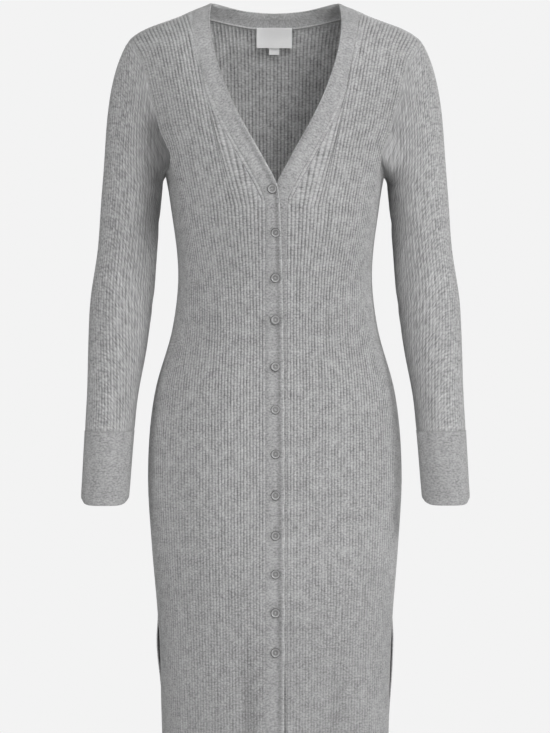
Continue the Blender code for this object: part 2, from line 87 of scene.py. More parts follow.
def feed(node, tree, inputs):
    # an input takes a value, a socket that drives it, or a node whose first output does
    for key, value in inputs.items():
        if isinstance(value, bpy.types.Node):
            value = value.outputs[0]
        if isinstance(value, bpy.types.NodeSocket):
            tree.links.new(value, node.inputs[key])
        else:
            node.inputs[key].default_value = value
    return node


def addNode(tree, kind, inputs=None, **settings):
    node = tree.nodes.new(kind)
    for key, value in settings.items():
        setattr(node, key, value)
    return feed(node, tree, inputs or {})


def calc(tree, operation, *values):
    return addNode(tree, "ShaderNodeMath", dict(enumerate(values)), operation=operation)


def mapRange(tree, value, start, end, low=0.0, high=1.0, **settings):
    # what lies from low to high comes out from start to end
    sockets = {0: value, 1: low, 2: high, 3: start, 4: end}
    return addNode(tree, "ShaderNodeMapRange", sockets, **settings)


def noise(tree, place, scale, detail, **more):
    sockets = {"Vector": place, "Scale": scale, "Detail": detail, **more}
    return addNode(tree, "ShaderNodeTexNoise", sockets)


def bumps(tree, strength, distance, height):
    sockets = {"Strength": strength, "Distance": distance, "Height": height}
    return addNode(tree, "ShaderNodeBump", sockets)


def attribute(tree, name):
    return addNode(tree, "ShaderNodeAttribute", attribute_name=name).outputs["Fac"]


def objectPlace(tree):
    return addNode(tree, "ShaderNodeTexCoord").outputs["Object"]


camera = link("camera", bpy.data.cameras.new("camera"))
camera.data.sensor_width = view["sensor"]
camera.data.lens = view["sensor"] * view["distance"] / view["height"]
camera.location = (
    -view["distance"] * math.sin(view["turn"]),
    -view["distance"] * math.cos(view["turn"]),
    neckHeight - view["drop"],
)
camera.rotation_euler = (math.pi / 2, 0, -view["turn"])
scene.camera = camera
scene.view_settings.view_transform = "Standard"

scene.world = bpy.data.worlds.new("studio")
scene.world.use_nodes = True
tree = scene.world.node_tree
tree.nodes.clear()
facing = addNode(tree, "ShaderNodeTexCoord").outputs["Generated"]
facing = addNode(tree, "ShaderNodeSeparateXYZ", {0: facing}).outputs[1]
level = mapRange(tree, facing, studio["ambientFront"], studio["ambientBack"], -1.0, 1.0)
lit, seen = [
    addNode(tree, "ShaderNodeBackground", {"Color": (1, 1, 1, 1), "Strength": strength})
    for strength in (level, studio["backdrop"])
]
toCamera = addNode(tree, "ShaderNodeLightPath").outputs["Is Camera Ray"]
choose = addNode(tree, "ShaderNodeMixShader", {0: toCamera, 1: lit, 2: seen})
addNode(tree, "ShaderNodeOutputWorld", {"Surface": choose})

aim = Vector((0, 0, neckHeight - studio["aimDrop"]))
for name, (place, size, watts) in lamps.items():
    lamp = bpy.data.lights.new(name, "AREA")
    lamp.size, lamp.energy = size, watts
    lampObject = link(name, lamp)
    lampObject.location = place
    lampObject.rotation_euler = (aim - Vector(place)).to_track_quat("-Z", "Y").to_euler()
print("camera, world and lamps made")

# materials
knit = {
    "unit": 0.0042,          # metres in one step of the knit's own map: the width of a rib
    "wales": 4.0,            # columns of stitches in that
    "courses": 3.4,          # rows of stitches in that
    "slant": 1.3,            # courses by which a stitch's legs lean
    "stitchDepth": 0.00032,
    "ribTone": 0.395,
    # painted shade: the valleys between the ribs are darker than the ribs
    "valleyShadeTone": 0.235,
    "valleyEdge": (0.02, 0.60),
    "valleyShadeAmount": (0.95, 0.40),     # painted shade: how dark a valley is, and how far that changes
    "plainTone": 0.350,
    "blueTint": 1.005,
    "heather": 0.25,         # how far single yarns stray from that tone
    "sleeveHeather": 0.31,
    "yarnScale": 1.3,
    "sleeveYarn": 0.9,
    "dashes": 0.20,          # darker dashes of yarn along a course
    "blotches": 0.099,
    "clouds": 0.054,
    "patches": {             # scale across and along the ribs, detail, low, high, place
        "yarn": (1.0, 1.5, 2, 0.34, 0.66, 0.0),
        "dash": (0.45, 2.2, 1, 0.54, 0.70, 40.0),
        "blotch": (0.40, 0.30, 3, 0.34, 0.66, 90.0),
        "cloud": (0.05, 0.03, 2, 0.30, 0.70, 150.0),
    },
}


def newMaterial(name):
    material = bpy.data.materials.new(name)
    material.use_nodes = True
    return material, material.node_tree, material.node_tree.nodes["Principled BSDF"]


def knitMaterial(name, ribbed, heather=knit["heather"], yarnScale=knit["yarnScale"]):
    material, tree, shader = newMaterial(name)
    knitPlace = addNode(tree, "ShaderNodeUVMap", uv_map="knit")
    across, down = addNode(tree, "ShaderNodeSeparateXYZ", {0: knitPlace}).outputs[:2]

    def times(a, b):
        return calc(tree, "MULTIPLY", a, b)

    def timesAdd(a, b, c):
        return calc(tree, "MULTIPLY_ADD", a, b, c)

    def patches(key, size=1.0):
        # cloudy values from -1 to 1
        acrossScale, alongScale, detail, low, high, place = knit["patches"][key]
        spot = addNode(tree, "ShaderNodeVectorMath", {
            0: knitPlace, 1: (acrossScale * size, alongScale * size, 1), 2: (place, place, 0),
        }, operation="MULTIPLY_ADD")
        return mapRange(tree, noise(tree, spot, 1.0, detail, Roughness=0.55), -1.0, 1.0, low, high)

    yarn = patches("yarn", yarnScale)
    blotch = patches("blotch")

    # tone: ribs lighter than the valleys between them, which get painted shade, deeper in one place
    # than another
    base = knit["plainTone"]
    if ribbed:
        crest = timesAdd(calc(tree, "COSINE", times(across, fullTurn)), -0.5, 0.5)
        deepest, change = knit["valleyShadeAmount"]
        depth = times(attribute(tree, "relief"), timesAdd(blotch, -change, deepest))
        low, high = knit["valleyEdge"]
        rise = mapRange(tree, crest, 0.0, 1.0, low, high, interpolation_type="SMOOTHSTEP")
        valley = times(calc(tree, "SUBTRACT", 1.0, rise), depth)
        base = timesAdd(valley, knit["valleyShadeTone"] - knit["ribTone"], knit["ribTone"])
    stray = times(yarn, heather)
    stray = timesAdd(calc(tree, "MAXIMUM", patches("dash"), 0.0), -knit["dashes"], stray)
    stray = timesAdd(blotch, knit["blotches"], stray)
    stray = timesAdd(patches("cloud"), knit["clouds"], stray)
    # the pieces' tone attribute brings in their painted shade and painted light
    grey = times(base, times(calc(tree, "ADD", 1.0, stray), attribute(tree, "tone")))
    tone = addNode(tree, "ShaderNodeCombineXYZ", {0: grey, 1: grey, 2: times(grey, knit["blueTint"])})

    # stitches: each wale is a column of V's
    wale = calc(tree, "FRACT", times(across, knit["wales"]))
    side = calc(tree, "ABSOLUTE", calc(tree, "SUBTRACT", wale, 0.5))
    leg = calc(tree, "SINE", times(side, fullTurn))
    course = timesAdd(side, -knit["slant"], times(down, knit["courses"]))
    loop = timesAdd(calc(tree, "COSINE", times(course, fullTurn)), 0.5, 0.5)
    height = timesAdd(yarn, 0.25, times(timesAdd(loop, 0.7, 0.3), leg))
    feed(shader, tree, {
        "Base Color": tone,
        "Normal": bumps(tree, 0.7, knit["stitchDepth"], height),
        "Roughness": 0.9,
        "Sheen Weight": 0.28,
        "Sheen Roughness": 0.6,
        "Specular IOR Level": 0.25,
    })
    return material


def threadMaterial():
    # the linking yarn of the seams, twisted
    material, tree, shader = newMaterial("seamYarn")
    fibres = noise(tree, objectPlace(tree), 900.0, 2)
    feed(shader, tree, {
        "Base Color": mapRange(tree, fibres, 0.30, 0.50),
        "Normal": bumps(tree, 0.4, 0.0002, fibres),
        "Roughness": 0.85,
    })
    return material


def buttonMaterial():
    # dull pearl-like resin, faintly clouded
    material, tree, shader = newMaterial("buttonResin")
    cloud = noise(tree, objectPlace(tree), 260.0, 3, Distortion=1.2)
    tone = mapRange(tree, cloud, 0.85, 1.15, 0.3, 0.7)
    feed(shader, tree, {
        "Base Color": calc(tree, "MULTIPLY", tone, attribute(tree, "tone")),
        "Roughness": mapRange(tree, cloud, 0.38, 0.52),
        "Coat Weight": 0.1,
    })
    return material


def labelMaterial():
    # bare satin tape: a fine diagonal weave
    material, tree, shader = newMaterial("labelTape")
    place = objectPlace(tree)
    x, _, z = addNode(tree, "ShaderNodeSeparateXYZ", {0: place}).outputs[:3]
    slope = calc(tree, "MULTIPLY_ADD", z, 0.5, x)
    weave = calc(tree, "SINE", calc(tree, "MULTIPLY", slope, fullTurn / 0.0005))
    weft = calc(tree, "SINE", calc(tree, "MULTIPLY", z, fullTurn / 0.0004))
    feed(shader, tree, {
        "Base Color": mapRange(tree, noise(tree, place, 500.0, 2), 0.96, 1.0),
        "Normal": bumps(tree, 0.35, 0.0001, calc(tree, "ADD", weave, weft)),
        "Roughness": 0.55,
    })
    return material


ribKnit = knitMaterial("ribKnit", True)
sleeveKnit = knitMaterial("sleeveKnit", True, knit["sleeveHeather"], knit["sleeveYarn"])
plainKnit = knitMaterial("plainKnit", False)
seamYarn, buttonResin, labelTape = threadMaterial(), buttonMaterial(), labelMaterial()
print("materials made")

# the form, as in the solids: tables read as smooth functions of the drop
body = {
    "roundness": 2.3,        # exponent of each ring: 2 is an ellipse, more is squarer
    "rings": (               # drop, half width, depth in front and behind, ease of the middle ribs
        (0.0000, 0.0820, 0.012, 0.0470, 1.00),
        (0.0088, 0.1070, 0.027, 0.0515, 1.00),
        (0.0156, 0.1220, 0.037, 0.0560, 1.00),
        (0.0234, 0.1430, 0.046, 0.0600, 1.00),
        (0.0312, 0.1640, 0.055, 0.0640, 1.00),
        (0.0468, 0.1885, 0.066, 0.0700, 1.00),
        (0.0760, 0.1875, 0.079, 0.0790, 1.02),
        (0.1080, 0.1815, 0.089, 0.0860, 1.04),
        (0.1460, 0.1690, 0.098, 0.0920, 1.12),
        (0.1800, 0.1570, 0.105, 0.0950, 1.20),
        (0.2227, 0.1416, 0.113, 0.0955, 1.25),
        (0.2700, 0.1336, 0.113, 0.0920, 1.25),
        (0.3600, 0.1251, 0.092, 0.0720, 1.18),
        (0.4200, 0.1321, 0.092, 0.0820, 1.08),
        (0.5000, 0.1538, 0.100, 0.1020, 0.98),
        (0.6100, 0.1638, 0.105, 0.1180, 0.91),
        (0.7000, 0.1592, 0.104, 0.1140, 0.93),
        (0.8000, 0.1512, 0.102, 0.1080, 0.95),
        (0.9460, 0.1464, 0.100, 0.1010, 0.95),
        (1.2000, 0.1380, 0.095, 0.0950, 0.96),
    ),
    "wall": 0.0012,
    "pointsPerRib": 4,
    "ribRise": 0.0012,
    "ribSteepest": 0.55,     # a rib rises at most this share of its width
    "seamPlain": 1.2,        # ribs over which the relief fades beside a seam
    "plainEnd": 0.0035,      # length over which it fades where the ribs end
    "rowStep": 0.0135,
    "chestRows": 12,
    "yokeRows": 28,
    "underRows": 7,          # of them, those up to where the ribs stop ending under the arm
    "underShare": 0.22,      # share of the armhole up to there
    "foldShade": 22.0,        # painted shade in folds: darker by this for each metre of a fold's depth
    "sway": (0.0003, 0.0008, 0.65, 1.2),     # unevenness: least, more by, from and to a drop
    "lowShade": (0.60, 0.86, 0.11),      # from and to a drop: how much darker the skirt gets
    "lowRelief": (0.35, 1.0, 0.45),      # and how much its ribs flatten
    "insidePaintedLight": 1.42,      # painted light: the inner, purl side is made lighter
    "stripRelief": 0.22,     # the ribs beside the V band are faint
    "stripFade": 3.0,        # ribs over which their relief comes back
    "stripRise": {"edge": (0.40, 0.68), "yoke": (0.45, 0.75)},   # share of the height: from, to
}
front = {                    # ribs from the band to the side seam
    "face": -1, "startX": 0.0136, "ribs": 47,
    "alongBand": 1,          # run beside the band up to the shoulder
    "toNeck": 9,             # end at those
    "toShoulder": 18,
    "neckEnds": (            # share of the V's length: share of those ribs that end below it
        (0, 0.25, 0.5, 0.75, 0.9, 1),
        (0, 0.42, 0.66, 0.81, 0.91, 1),
    ),
}
back = {                     # ribs from the centre to the side seam
    "face": 1, "startX": 0.0, "ribs": 50,
    "alongBand": 0, "toNeck": 21, "toShoulder": 16,
}
armhole = (                  # drop and x, from under the arm to the shoulder
    (0.2227, 0.1416), (0.2174, 0.1391), (0.2079, 0.1348), (0.1957, 0.1355), (0.1721, 0.1465),
    (0.1503, 0.1525), (0.1236, 0.1595), (0.0958, 0.1663), (0.0764, 0.1723), (0.0589, 0.1826),
    (0.0468, 0.1885),
)
band = {                     # rows: face, free edge x and drop, seam x and drop
    "rows": (
        (-1, -0.0100, 1.2000, 0.0135, 1.2000),
        (-1, -0.0100, 0.8000, 0.0135, 0.8000),
        (-1, -0.0098, 0.6100, 0.0135, 0.6100),
        (-1, -0.0088, 0.4800, 0.0135, 0.4800),
        (-1, -0.0074, 0.3600, 0.0135, 0.3600),
        (-1, -0.0040, 0.2680, 0.0136, 0.2700),
        (-1, 0.0000, 0.2412, 0.0190, 0.2500),
        (-1, 0.0121, 0.2166, 0.0308, 0.2268),
        (-1, 0.0247, 0.1935, 0.0436, 0.2038),
        (-1, 0.0422, 0.1617, 0.0612, 0.1713),
        (-1, 0.0589, 0.1272, 0.0786, 0.1357),
        (-1, 0.0714, 0.0938, 0.0915, 0.1012),
        (-1, 0.0788, 0.0670, 0.0998, 0.0720),
        (-1, 0.0837, 0.0366, 0.1052, 0.0388),
        (-1, 0.0838, 0.0130, 0.1066, 0.0190),
        (0, 0.0820, -0.0008, 0.1070, 0.0088),
        (1, 0.0765, -0.0034, 0.1000, 0.0100),
        (1, 0.0620, -0.0014, 0.0840, 0.0129),
        (1, 0.0430, 0.0018, 0.0600, 0.0176),
        (1, 0.0220, 0.0038, 0.0310, 0.0222),
        (1, 0.0000, 0.0047, 0.0000, 0.0240),
    ),
    "foot": 5.0,             # where the V begins: a row
    "width": 0.0235,
    "tuckShare": 1.035,      # the seam edge is tucked under the panel's first rib
    "tuckDepth": 0.0009,
    "wall": 0.0013,
    "layerGap": 0.0003,
    "lapDrop": 0.240,        # below this the two bands lie on each other
    "partDrop": 0.170,
    "rowStep": 0.005,
    "across": 16,
    "edgeRound": (0.0, 0.00010, 0.00028, 0.00055),   # columns that round off the edges
    "sway": 0.00025,
    "edgeLift": 0.0017,      # the top band's free edge stands up from the button line
    "edgeBead": (0.0005, 0.035, 0.03),   # and is rolled: amount, place and reach across the band
    "flatSeam": 0.0005,
    "vDrops": (0.10, 0.19),  # where the cloth up the V stops lying flat
    "edgeHighlight": (0.45, 0.0, 0.10),       # painted highlight: the top band's edge is lighter
    "turnShade": (0.26, 0.0, 0.25),       # painted shade where the under band's edge turns away
    # painted light on the inner side
    "insidePaintedLight": 1.34,
    "buttonLineShade": (0.28, 0.25, 0.14),      # painted shade: the cloth under the buttons looks darker
    "scallop": 0.0011,       # the top band's edge swings out beside each button
    "scallopWidth": 0.010,
    "scallopDrops": (0.30, 0.60),
    "partFrom": 0.838,       # below the last button the two bands part
    "partTo": 0.900,
    "partDepth": 0.0075,
}
sleeve = {
    "rings": (               # drop, x, y, half width, half depth, ease of the middle ribs
        (0.2390, 0.1848, -0.002, 0.0385, 0.050, 0.85),
        (0.3220, 0.1918, -0.008, 0.0379, 0.044, 0.95),
        (0.3850, 0.1982, -0.016, 0.0400, 0.040, 1.00),
        (0.4470, 0.2040, -0.026, 0.0371, 0.036, 1.10),
        (0.5100, 0.2095, -0.036, 0.0322, 0.034, 1.15),
        (0.5530, 0.2128, -0.040, 0.0312, 0.033, 1.20),
        (0.6473, 0.2187, -0.047, 0.0299, 0.032, 1.20),
    ),
    "ribs": 60,              # all round
    "end": 0.5532,
    "rowStep": 0.009,
    "capRows": 18,
    "leanTop": math.radians(35),
    "leanSide": math.radians(6),
    "leanUnder": math.radians(46),
    "swell": 0.18,
    "pullStart": 0.85,
    "pullEnd": 1.0,
    "tangentStep": 0.010,
    # right and left sleeve: share of the ribs' height and of their painted valley shade, less on the
    # left, where the light falls from the front
    "relief": (0.80, 0.66),
    "shade": (               # painted shade, right and left: place and reach round the sleeve, drops, amount
        ((0.43, 0.10, 0.125, 0.345, 0.70), (0.47, 0.05, 0.240, 0.560, 0.24)),
        ((0.45, 0.07, 0.125, 0.300, 0.08), (0.46, 0.08, 0.200, 0.600, 0.34)),
    ),
    "creases": (             # place round the sleeve, drop, slope, depth, half height, reach round
        (0.40, 0.262, 0.16, 0.0024, 0.0075, 0.06),
        (0.39, 0.292, 0.20, 0.0020, 0.0080, 0.06),
        (0.34, 0.362, 0.14, 0.0022, 0.0075, 0.11),
        (0.36, 0.392, 0.10, 0.0026, 0.0080, 0.10),
        (0.32, 0.424, 0.06, 0.0018, 0.0080, 0.09),
        (0.60, 0.378, -0.12, 0.0020, 0.0085, 0.10),
        (0.62, 0.410, -0.10, 0.0018, 0.0080, 0.09),
        (0.58, 0.275, -0.14, 0.0022, 0.0085, 0.09),
    ),
    "sway": 0.0005,
    "underRelief": 0.15,     # the relief left where the ribs meet under the arm
    "twistRibs": 4.5,
    "twistDrops": (0.34, 0.56),
    "capTurn": 2.5,          # how much higher the cap's ribs end on the seam
}
cuff = {
    "top": 0.5532,
    "end": 0.6473,
    "sides": 96,
    "rows": 26,
    "wall": 0.0014,
    "offset": 0.0001,
    "edgeRound": 0.0016,
    "rimRise": 0.0040,
    "rimTuck": 0.10,
    "mapRadius": 0.0315,
}
folds = {                    # x at top and foot, drop of top and foot, depth, half width
    "front": (
        (-0.038, -0.043, 0.765, 1.200, 0.0075, 0.0120),
        (0.079, 0.075, 0.790, 1.200, 0.0058, 0.0140),
        (-0.098, -0.108, 0.880, 1.200, 0.0022, 0.0130),
        (0.118, 0.112, 0.930, 1.200, 0.0020, 0.0090),
        (0.036, 0.034, 0.960, 1.200, 0.0022, 0.0080),
    ),
    "back": (
        (-0.062, -0.066, 0.760, 1.200, 0.0050, 0.0120),
        (0.044, 0.040, 0.800, 1.200, 0.0038, 0.0110),
        (0.104, 0.110, 0.870, 1.200, 0.0025, 0.0120),
        (-0.010, -0.008, 0.930, 1.200, 0.0022, 0.0090),
        (-0.112, -0.116, 0.950, 1.200, 0.0020, 0.0100),
    ),
}


def hermite(t, start, end, leave, arrive):
    # from start to end, leaving and arriving with these slopes
    return (
        (1 + 2 * t) * (1 - t) ** 2 * start + t * (1 - t) ** 2 * leave
        + t * t * (3 - 2 * t) * end - t * t * (1 - t) * arrive
    )


def smooth(keys, values):
    # a smooth function through rising keys
    keys, values = np.array(keys, float), np.array(values, float)
    slopes = np.gradient(values, keys, axis=0)

    def read(where):
        where = np.clip(np.asarray(where, float), keys[0], keys[-1])
        i = np.clip(np.searchsorted(keys, where) - 1, 0, len(keys) - 2)
        span = keys[i + 1] - keys[i]
        t = (where - keys[i]) / span
        if values.ndim > 1:
            t, span = t[..., None], span[..., None]
        return hermite(t, values[i], values[i + 1], span * slopes[i], span * slopes[i + 1])

    return read


def blend(low, high, where):
    t = np.clip((np.asarray(where, float) - low) / (high - low), 0, 1)
    return t * t * (3 - 2 * t)


def unit(vectors):
    return vectors / np.linalg.norm(vectors, axis=-1, keepdims=True)


def travelled(points):
    # the length of a line up to each of its points
    return np.r_[0, np.cumsum(np.linalg.norm(np.diff(points, axis=0), axis=1))]


def readLine(where, keys, line):
    return np.stack([np.interp(where, keys, values) for values in line.T], -1)


def along(points):
    # a line's points as a function of the share of its length
    points = np.asarray(points, float)
    distance = travelled(points)
    return lambda share: readLine(share, distance / distance[-1], points)


def dropOf(points):
    return neckHeight - points[..., 2]


def mirrored(vectors, toLeft):
    return vectors * np.array([1.0 if toLeft else -1.0, 1.0, 1.0])


def easeShare(share, ease):
    # moves ribs so that those at the middle (0) are wider than those at the side (1)
    return ease * share - (ease - 1) * share ** 3


def tableColumns(part):
    drops, *columns = zip(*part["rings"])
    return [smooth(drops, column) for column in columns]


halfWidth, frontDepth, backDepth, bodyEase = tableColumns(body)
sleeveX, sleeveY, sleeveHalfWidth, sleeveHalfDepth, sleeveEase = tableColumns(sleeve)
bandRows = range(len(band["rows"]))
bandEdge = smooth(bandRows, [row[1:3] for row in band["rows"]])
bandSeam = smooth(bandRows, [row[3:5] for row in band["rows"]])
ridge = [row[0] for row in band["rows"]].index(0)
armholeCurve = smooth(range(len(armhole)), [(x, drop) for drop, x in armhole])
armholeAt = along(armholeCurve(np.linspace(0, len(armhole) - 1, fine)))
shoulderDrops = np.linspace(band["rows"][ridge][4], shoulderDrop, fine)
shoulderPoints = np.stack([halfWidth(shoulderDrops), shoulderDrops], -1)
shoulderLine = along(shoulderPoints)
shoulderLength = travelled(shoulderPoints)[-1]


def bodyPoint(face, x, drop):
    x, drop = np.broadcast_arrays(np.asarray(x, float), np.asarray(drop, float))
    depth = np.where(np.asarray(face) < 0, frontDepth(drop), backDepth(drop))
    inside = np.clip(1 - (np.abs(x) / halfWidth(drop)) ** body["roundness"], 0, None)
    return np.stack([x, face * depth * inside ** (1 / body["roundness"]), neckHeight - drop], -1)


def bodyNormal(face, points):
    # from the rings' own formula, so that pieces that meet agree
    n, drop, step = body["roundness"], dropOf(points), 0.001

    def sizeAndSlope(size):
        return size(drop), (size(drop + step) - size(drop - step)) / (2 * step)

    wide, wideSlope = sizeAndSlope(halfWidth)
    deep, deepSlope = sizeAndSlope(frontDepth if face < 0 else backDepth)
    x, y = np.abs(points[..., 0]), np.abs(points[..., 1])
    return unit(np.stack([
        np.sign(points[..., 0]) * x ** (n - 1) / wide ** n,
        face * y ** (n - 1) / deep ** n,
        x ** n * wideSlope / wide ** (n + 1) + y ** n * deepSlope / deep ** (n + 1),
    ], -1))


def settle(piece, slot, *nodes):
    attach(piece, "root")
    if nodes:
        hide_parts(*nodes)


def makePiece(name, faces, corners, material, uvs=None, relief=None, tone=None, sharpAngle=55):
    mesh = bpy.data.meshes.new(name)
    mesh.from_pydata(np.asarray(corners).tolist(), [], faces)
    if uvs is not None:
        mesh.uv_layers.new(name="knit").uv.foreach_set("vector", np.asarray(uvs, np.float32).ravel())
    for key, values in (("relief", relief), ("tone", tone)):
        values = np.ones(len(corners)) if values is None else values
        data = mesh.attributes.new(key, "FLOAT", "POINT").data
        data.foreach_set("value", values.astype(np.float32))
    mesh.polygons.foreach_set("use_smooth", np.ones(len(faces), bool))
    mesh.set_sharp_from_angle(angle=math.radians(sharpAngle))
    mesh.materials.append(material)
    return link(name, mesh)


def cells(grid):
    # the four corners of every cell of a grid
    return [grid[:-1, :-1], grid[:-1, 1:], grid[1:, 1:], grid[1:, :-1]]


def makeWall(name, patches, material, insidePaintedLight=1.0):
    # one closed wall from grids that share their borders; each is outer, inner, uv, relief, tone
    flat = []
    for outer, inner, uv, relief, tone in patches:
        relief, tone = [np.broadcast_to(v, outer.shape[:2])[..., None] for v in (relief, tone)]
        grid = np.concatenate([outer, inner, relief, tone], -1)
        if uv.shape[1] > grid.shape[1]:      # a tube: its map has one column more
            grid = np.concatenate([grid, grid[:, :1]], 1)
        flat.append(grid.reshape(-1, 8))
    flat = np.concatenate(flat)
    # where patches meet, points within 0.01 mm are one
    rounded = np.round(flat[:, :3], 5 if len(patches) > 1 else 7)
    _, first, same = np.unique(rounded, axis=0, return_index=True, return_inverse=True)
    outer, inner, relief, tone = np.split(flat[first], (3, 6, 7), axis=1)
    count = len(first)
    faces, maps, start = [], [], 0
    for uv in [patch[2] for patch in patches]:
        size = uv.shape[0] * uv.shape[1]
        index = same.ravel()[start:start + size].reshape(uv.shape[:2])
        start += size
        for face, faceUv in zip(np.stack(cells(index), -1).reshape(-1, 4).tolist(),
                                np.stack(cells(uv), -2).reshape(-1, 4, 2).tolist()):
            kept = [i for i in range(4) if face[i] != face[i - 1]]
            if len(kept) > 2 and len({face[i] for i in kept}) == len(kept):
                faces.append([face[i] for i in kept])
                maps.append([faceUv[i] for i in kept])

    # the two sides are joined wherever a side of a face has no neighbour
    sides = {}
    for face, faceUv in zip(faces, maps):
        for i in range(len(face)):
            sides[face[i - 1], face[i]] = (faceUv[i - 1], faceUv[i])
    allFaces = faces + [[i + count for i in face[::-1]] for face in faces]
    allMaps = maps + [faceUv[::-1] for faceUv in maps]
    for (a, b), (uvA, uvB) in sides.items():
        if (b, a) not in sides:
            allFaces.append([b, a, a + count, b + count])
            allMaps.append([uvB, uvA, uvA, uvB])
    a, b, c = faces[len(faces) // 2][:3]
    turn = np.cross(outer[b] - outer[a], outer[c] - outer[b])
    if turn @ (outer[a] - inner[a]) < 0:
        allFaces, allMaps = [[corners[::-1] for corners in every] for every in (allFaces, allMaps)]
    flatMap = np.array([corner for faceUv in allMaps for corner in faceUv])
    # the inner side's tone is raised by its painted light
    return makePiece(name, allFaces, np.concatenate([outer, inner]), material, flatMap,
                     np.tile(relief.ravel(), 2), np.concatenate([tone, tone * insidePaintedLight]).ravel())


def alongRows(points):
    # distance of each point from the first row, up its column
    steps = np.linalg.norm(np.diff(points, axis=0), axis=-1)
    return np.concatenate([np.zeros((1, points.shape[1])), np.cumsum(steps, axis=0)])


def fadeRibs(points, lastPlain=None, topPlain=True, lowPlain=False):
    # the ribs' share of their full height at each point
    fade = np.ones(points.shape[:2])
    if lastPlain:
        fade *= blend(0.2, lastPlain, np.arange(points.shape[1])[::-1] / body["pointsPerRib"])
    distance = alongRows(points)
    if topPlain:
        fade *= blend(0, body["plainEnd"], distance[-1] - distance)
    if lowPlain:
        fade *= blend(0, body["plainEnd"], distance)
    return fade


def ribRise(points, fade, firstColumn=0):
    perRib = body["pointsPerRib"]
    ribsIn = (firstColumn + np.arange(points.shape[1])) / perRib
    crest = (1 - np.cos(fullTurn * ribsIn)) / 2
    spacing = np.linalg.norm(np.gradient(points, axis=1), axis=-1) * perRib
    height = np.minimum(body["ribRise"], body["ribSteepest"] * spacing / 2)
    return height * fade * crest ** 0.7


def ribbedSides(points, normals, rise):
    # the wall's inner side follows the ribs too
    depth = body["wall"] - 0.8 * rise
    return points + normals * rise[..., None], points - normals * depth[..., None]


def knitMap(points, columns, firstColumn=0, startRun=0.0):
    # ribs across, metres along, in the knit's units
    distance = alongRows(points) + startRun
    if columns > points.shape[1]:
        distance = np.c_[distance, distance[:, :1]]
    across = (firstColumn + np.arange(columns)) / body["pointsPerRib"]
    return np.stack([np.broadcast_to(across, distance.shape), distance / knit["unit"]], -1)


def lessened(drop, start, end, amount):
    # a share that falls by this amount from one drop to the other
    return 1 - amount * blend(start, end, drop)


def pressFolds(points, normals, rows):
    drop = dropOf(points)
    depth = np.zeros(drop.shape)
    for xTop, xFoot, top, foot, deep, width in rows:
        share = np.clip((drop - top) / (foot - top), 0, 1)
        x = xTop + (xFoot - xTop) * share
        depth += deep * blend(0, 0.45, share) * np.exp(-(((points[..., 0] - x) / width) ** 2))
    # painted shade in the folds, darker where they are deeper
    tone = 1 - body["foldShade"] * depth
    # a slight unevenness that grows towards the hem
    x = points[..., 0]
    wave = np.sin(x * 61 + 2.1 * np.sin(drop * 7.3)) * np.sin(drop * 11 + x * 9)
    least, more, start, end = body["sway"]
    depth += (least + more * blend(start, end, drop)) * wave
    return points - normals * depth[..., None], tone


def ringTable(face, startX):
    # x for a drop and a share of the way round from startX to the side seam
    drops = np.linspace(0.20, length, 401)
    shares = np.linspace(0, 1, fine + 1)
    angle = np.linspace(0, math.pi / 2, fine)
    table = []
    for drop in drops:
        x = halfWidth(drop) * np.sin(angle) ** (2 / body["roundness"])
        distance = travelled(bodyPoint(face, x, drop))
        start = np.interp(startX, x, distance)
        table.append(np.interp(start + shares * (distance[-1] - start), distance, x))
    table = np.array(table)

    def read(drop, share):
        i = np.clip((drop - drops[0]) / (drops[1] - drops[0]), 0, len(drops) - 1.0001)
        j = np.clip(share * fine, 0, fine - 0.0001)
        i0, j0 = i.astype(int), j.astype(int)
        a, b = i - i0, j - j0
        before, after = [table[i0, k] * (1 - a) + table[i0 + 1, k] * a for k in (j0, j0 + 1)]
        return before * (1 - b) + after * b

    return read


def besideBand(part, chest):
    # where the ribs of a front end: the band's seam, and the line that the ribs beside it reach to
    perRib = body["pointsPerRib"]
    edge = part["alongBand"] * perRib
    seam = bandSeam(np.linspace(band["foot"], ridge, fine))
    points = bodyPoint(-1, seam[:, 0], seam[:, 1])
    out = np.cross(bodyNormal(-1, points), unit(np.gradient(points, axis=0)))
    out *= np.sign(out[:, :1])
    wide = chest[edge, 0] - chest[0, 0]
    line = np.stack([seam[:, 0] + wide * out[:, 0], seam[:, 1] - wide * out[:, 2]], -1)
    # the first point is on the chest row, the last on the shoulder seam
    t = np.linspace(0, 1, fine)[:, None]
    line += (chest[edge] - line[0]) * (1 - blend(0, 0.15, t))
    line += (shoulderLine(wide / shoulderLength) - line[-1]) * blend(0.75, 1, t)
    distance = travelled(bodyPoint(-1, line[:, 0], line[:, 1]))
    share = smooth(*part["neckEnds"])(distance / distance[-1])
    wanted = np.linspace(0, 1, part["toNeck"] * perRib + 1)
    return readLine(wanted, share, seam), readLine(wanted, share, line), wide / shoulderLength


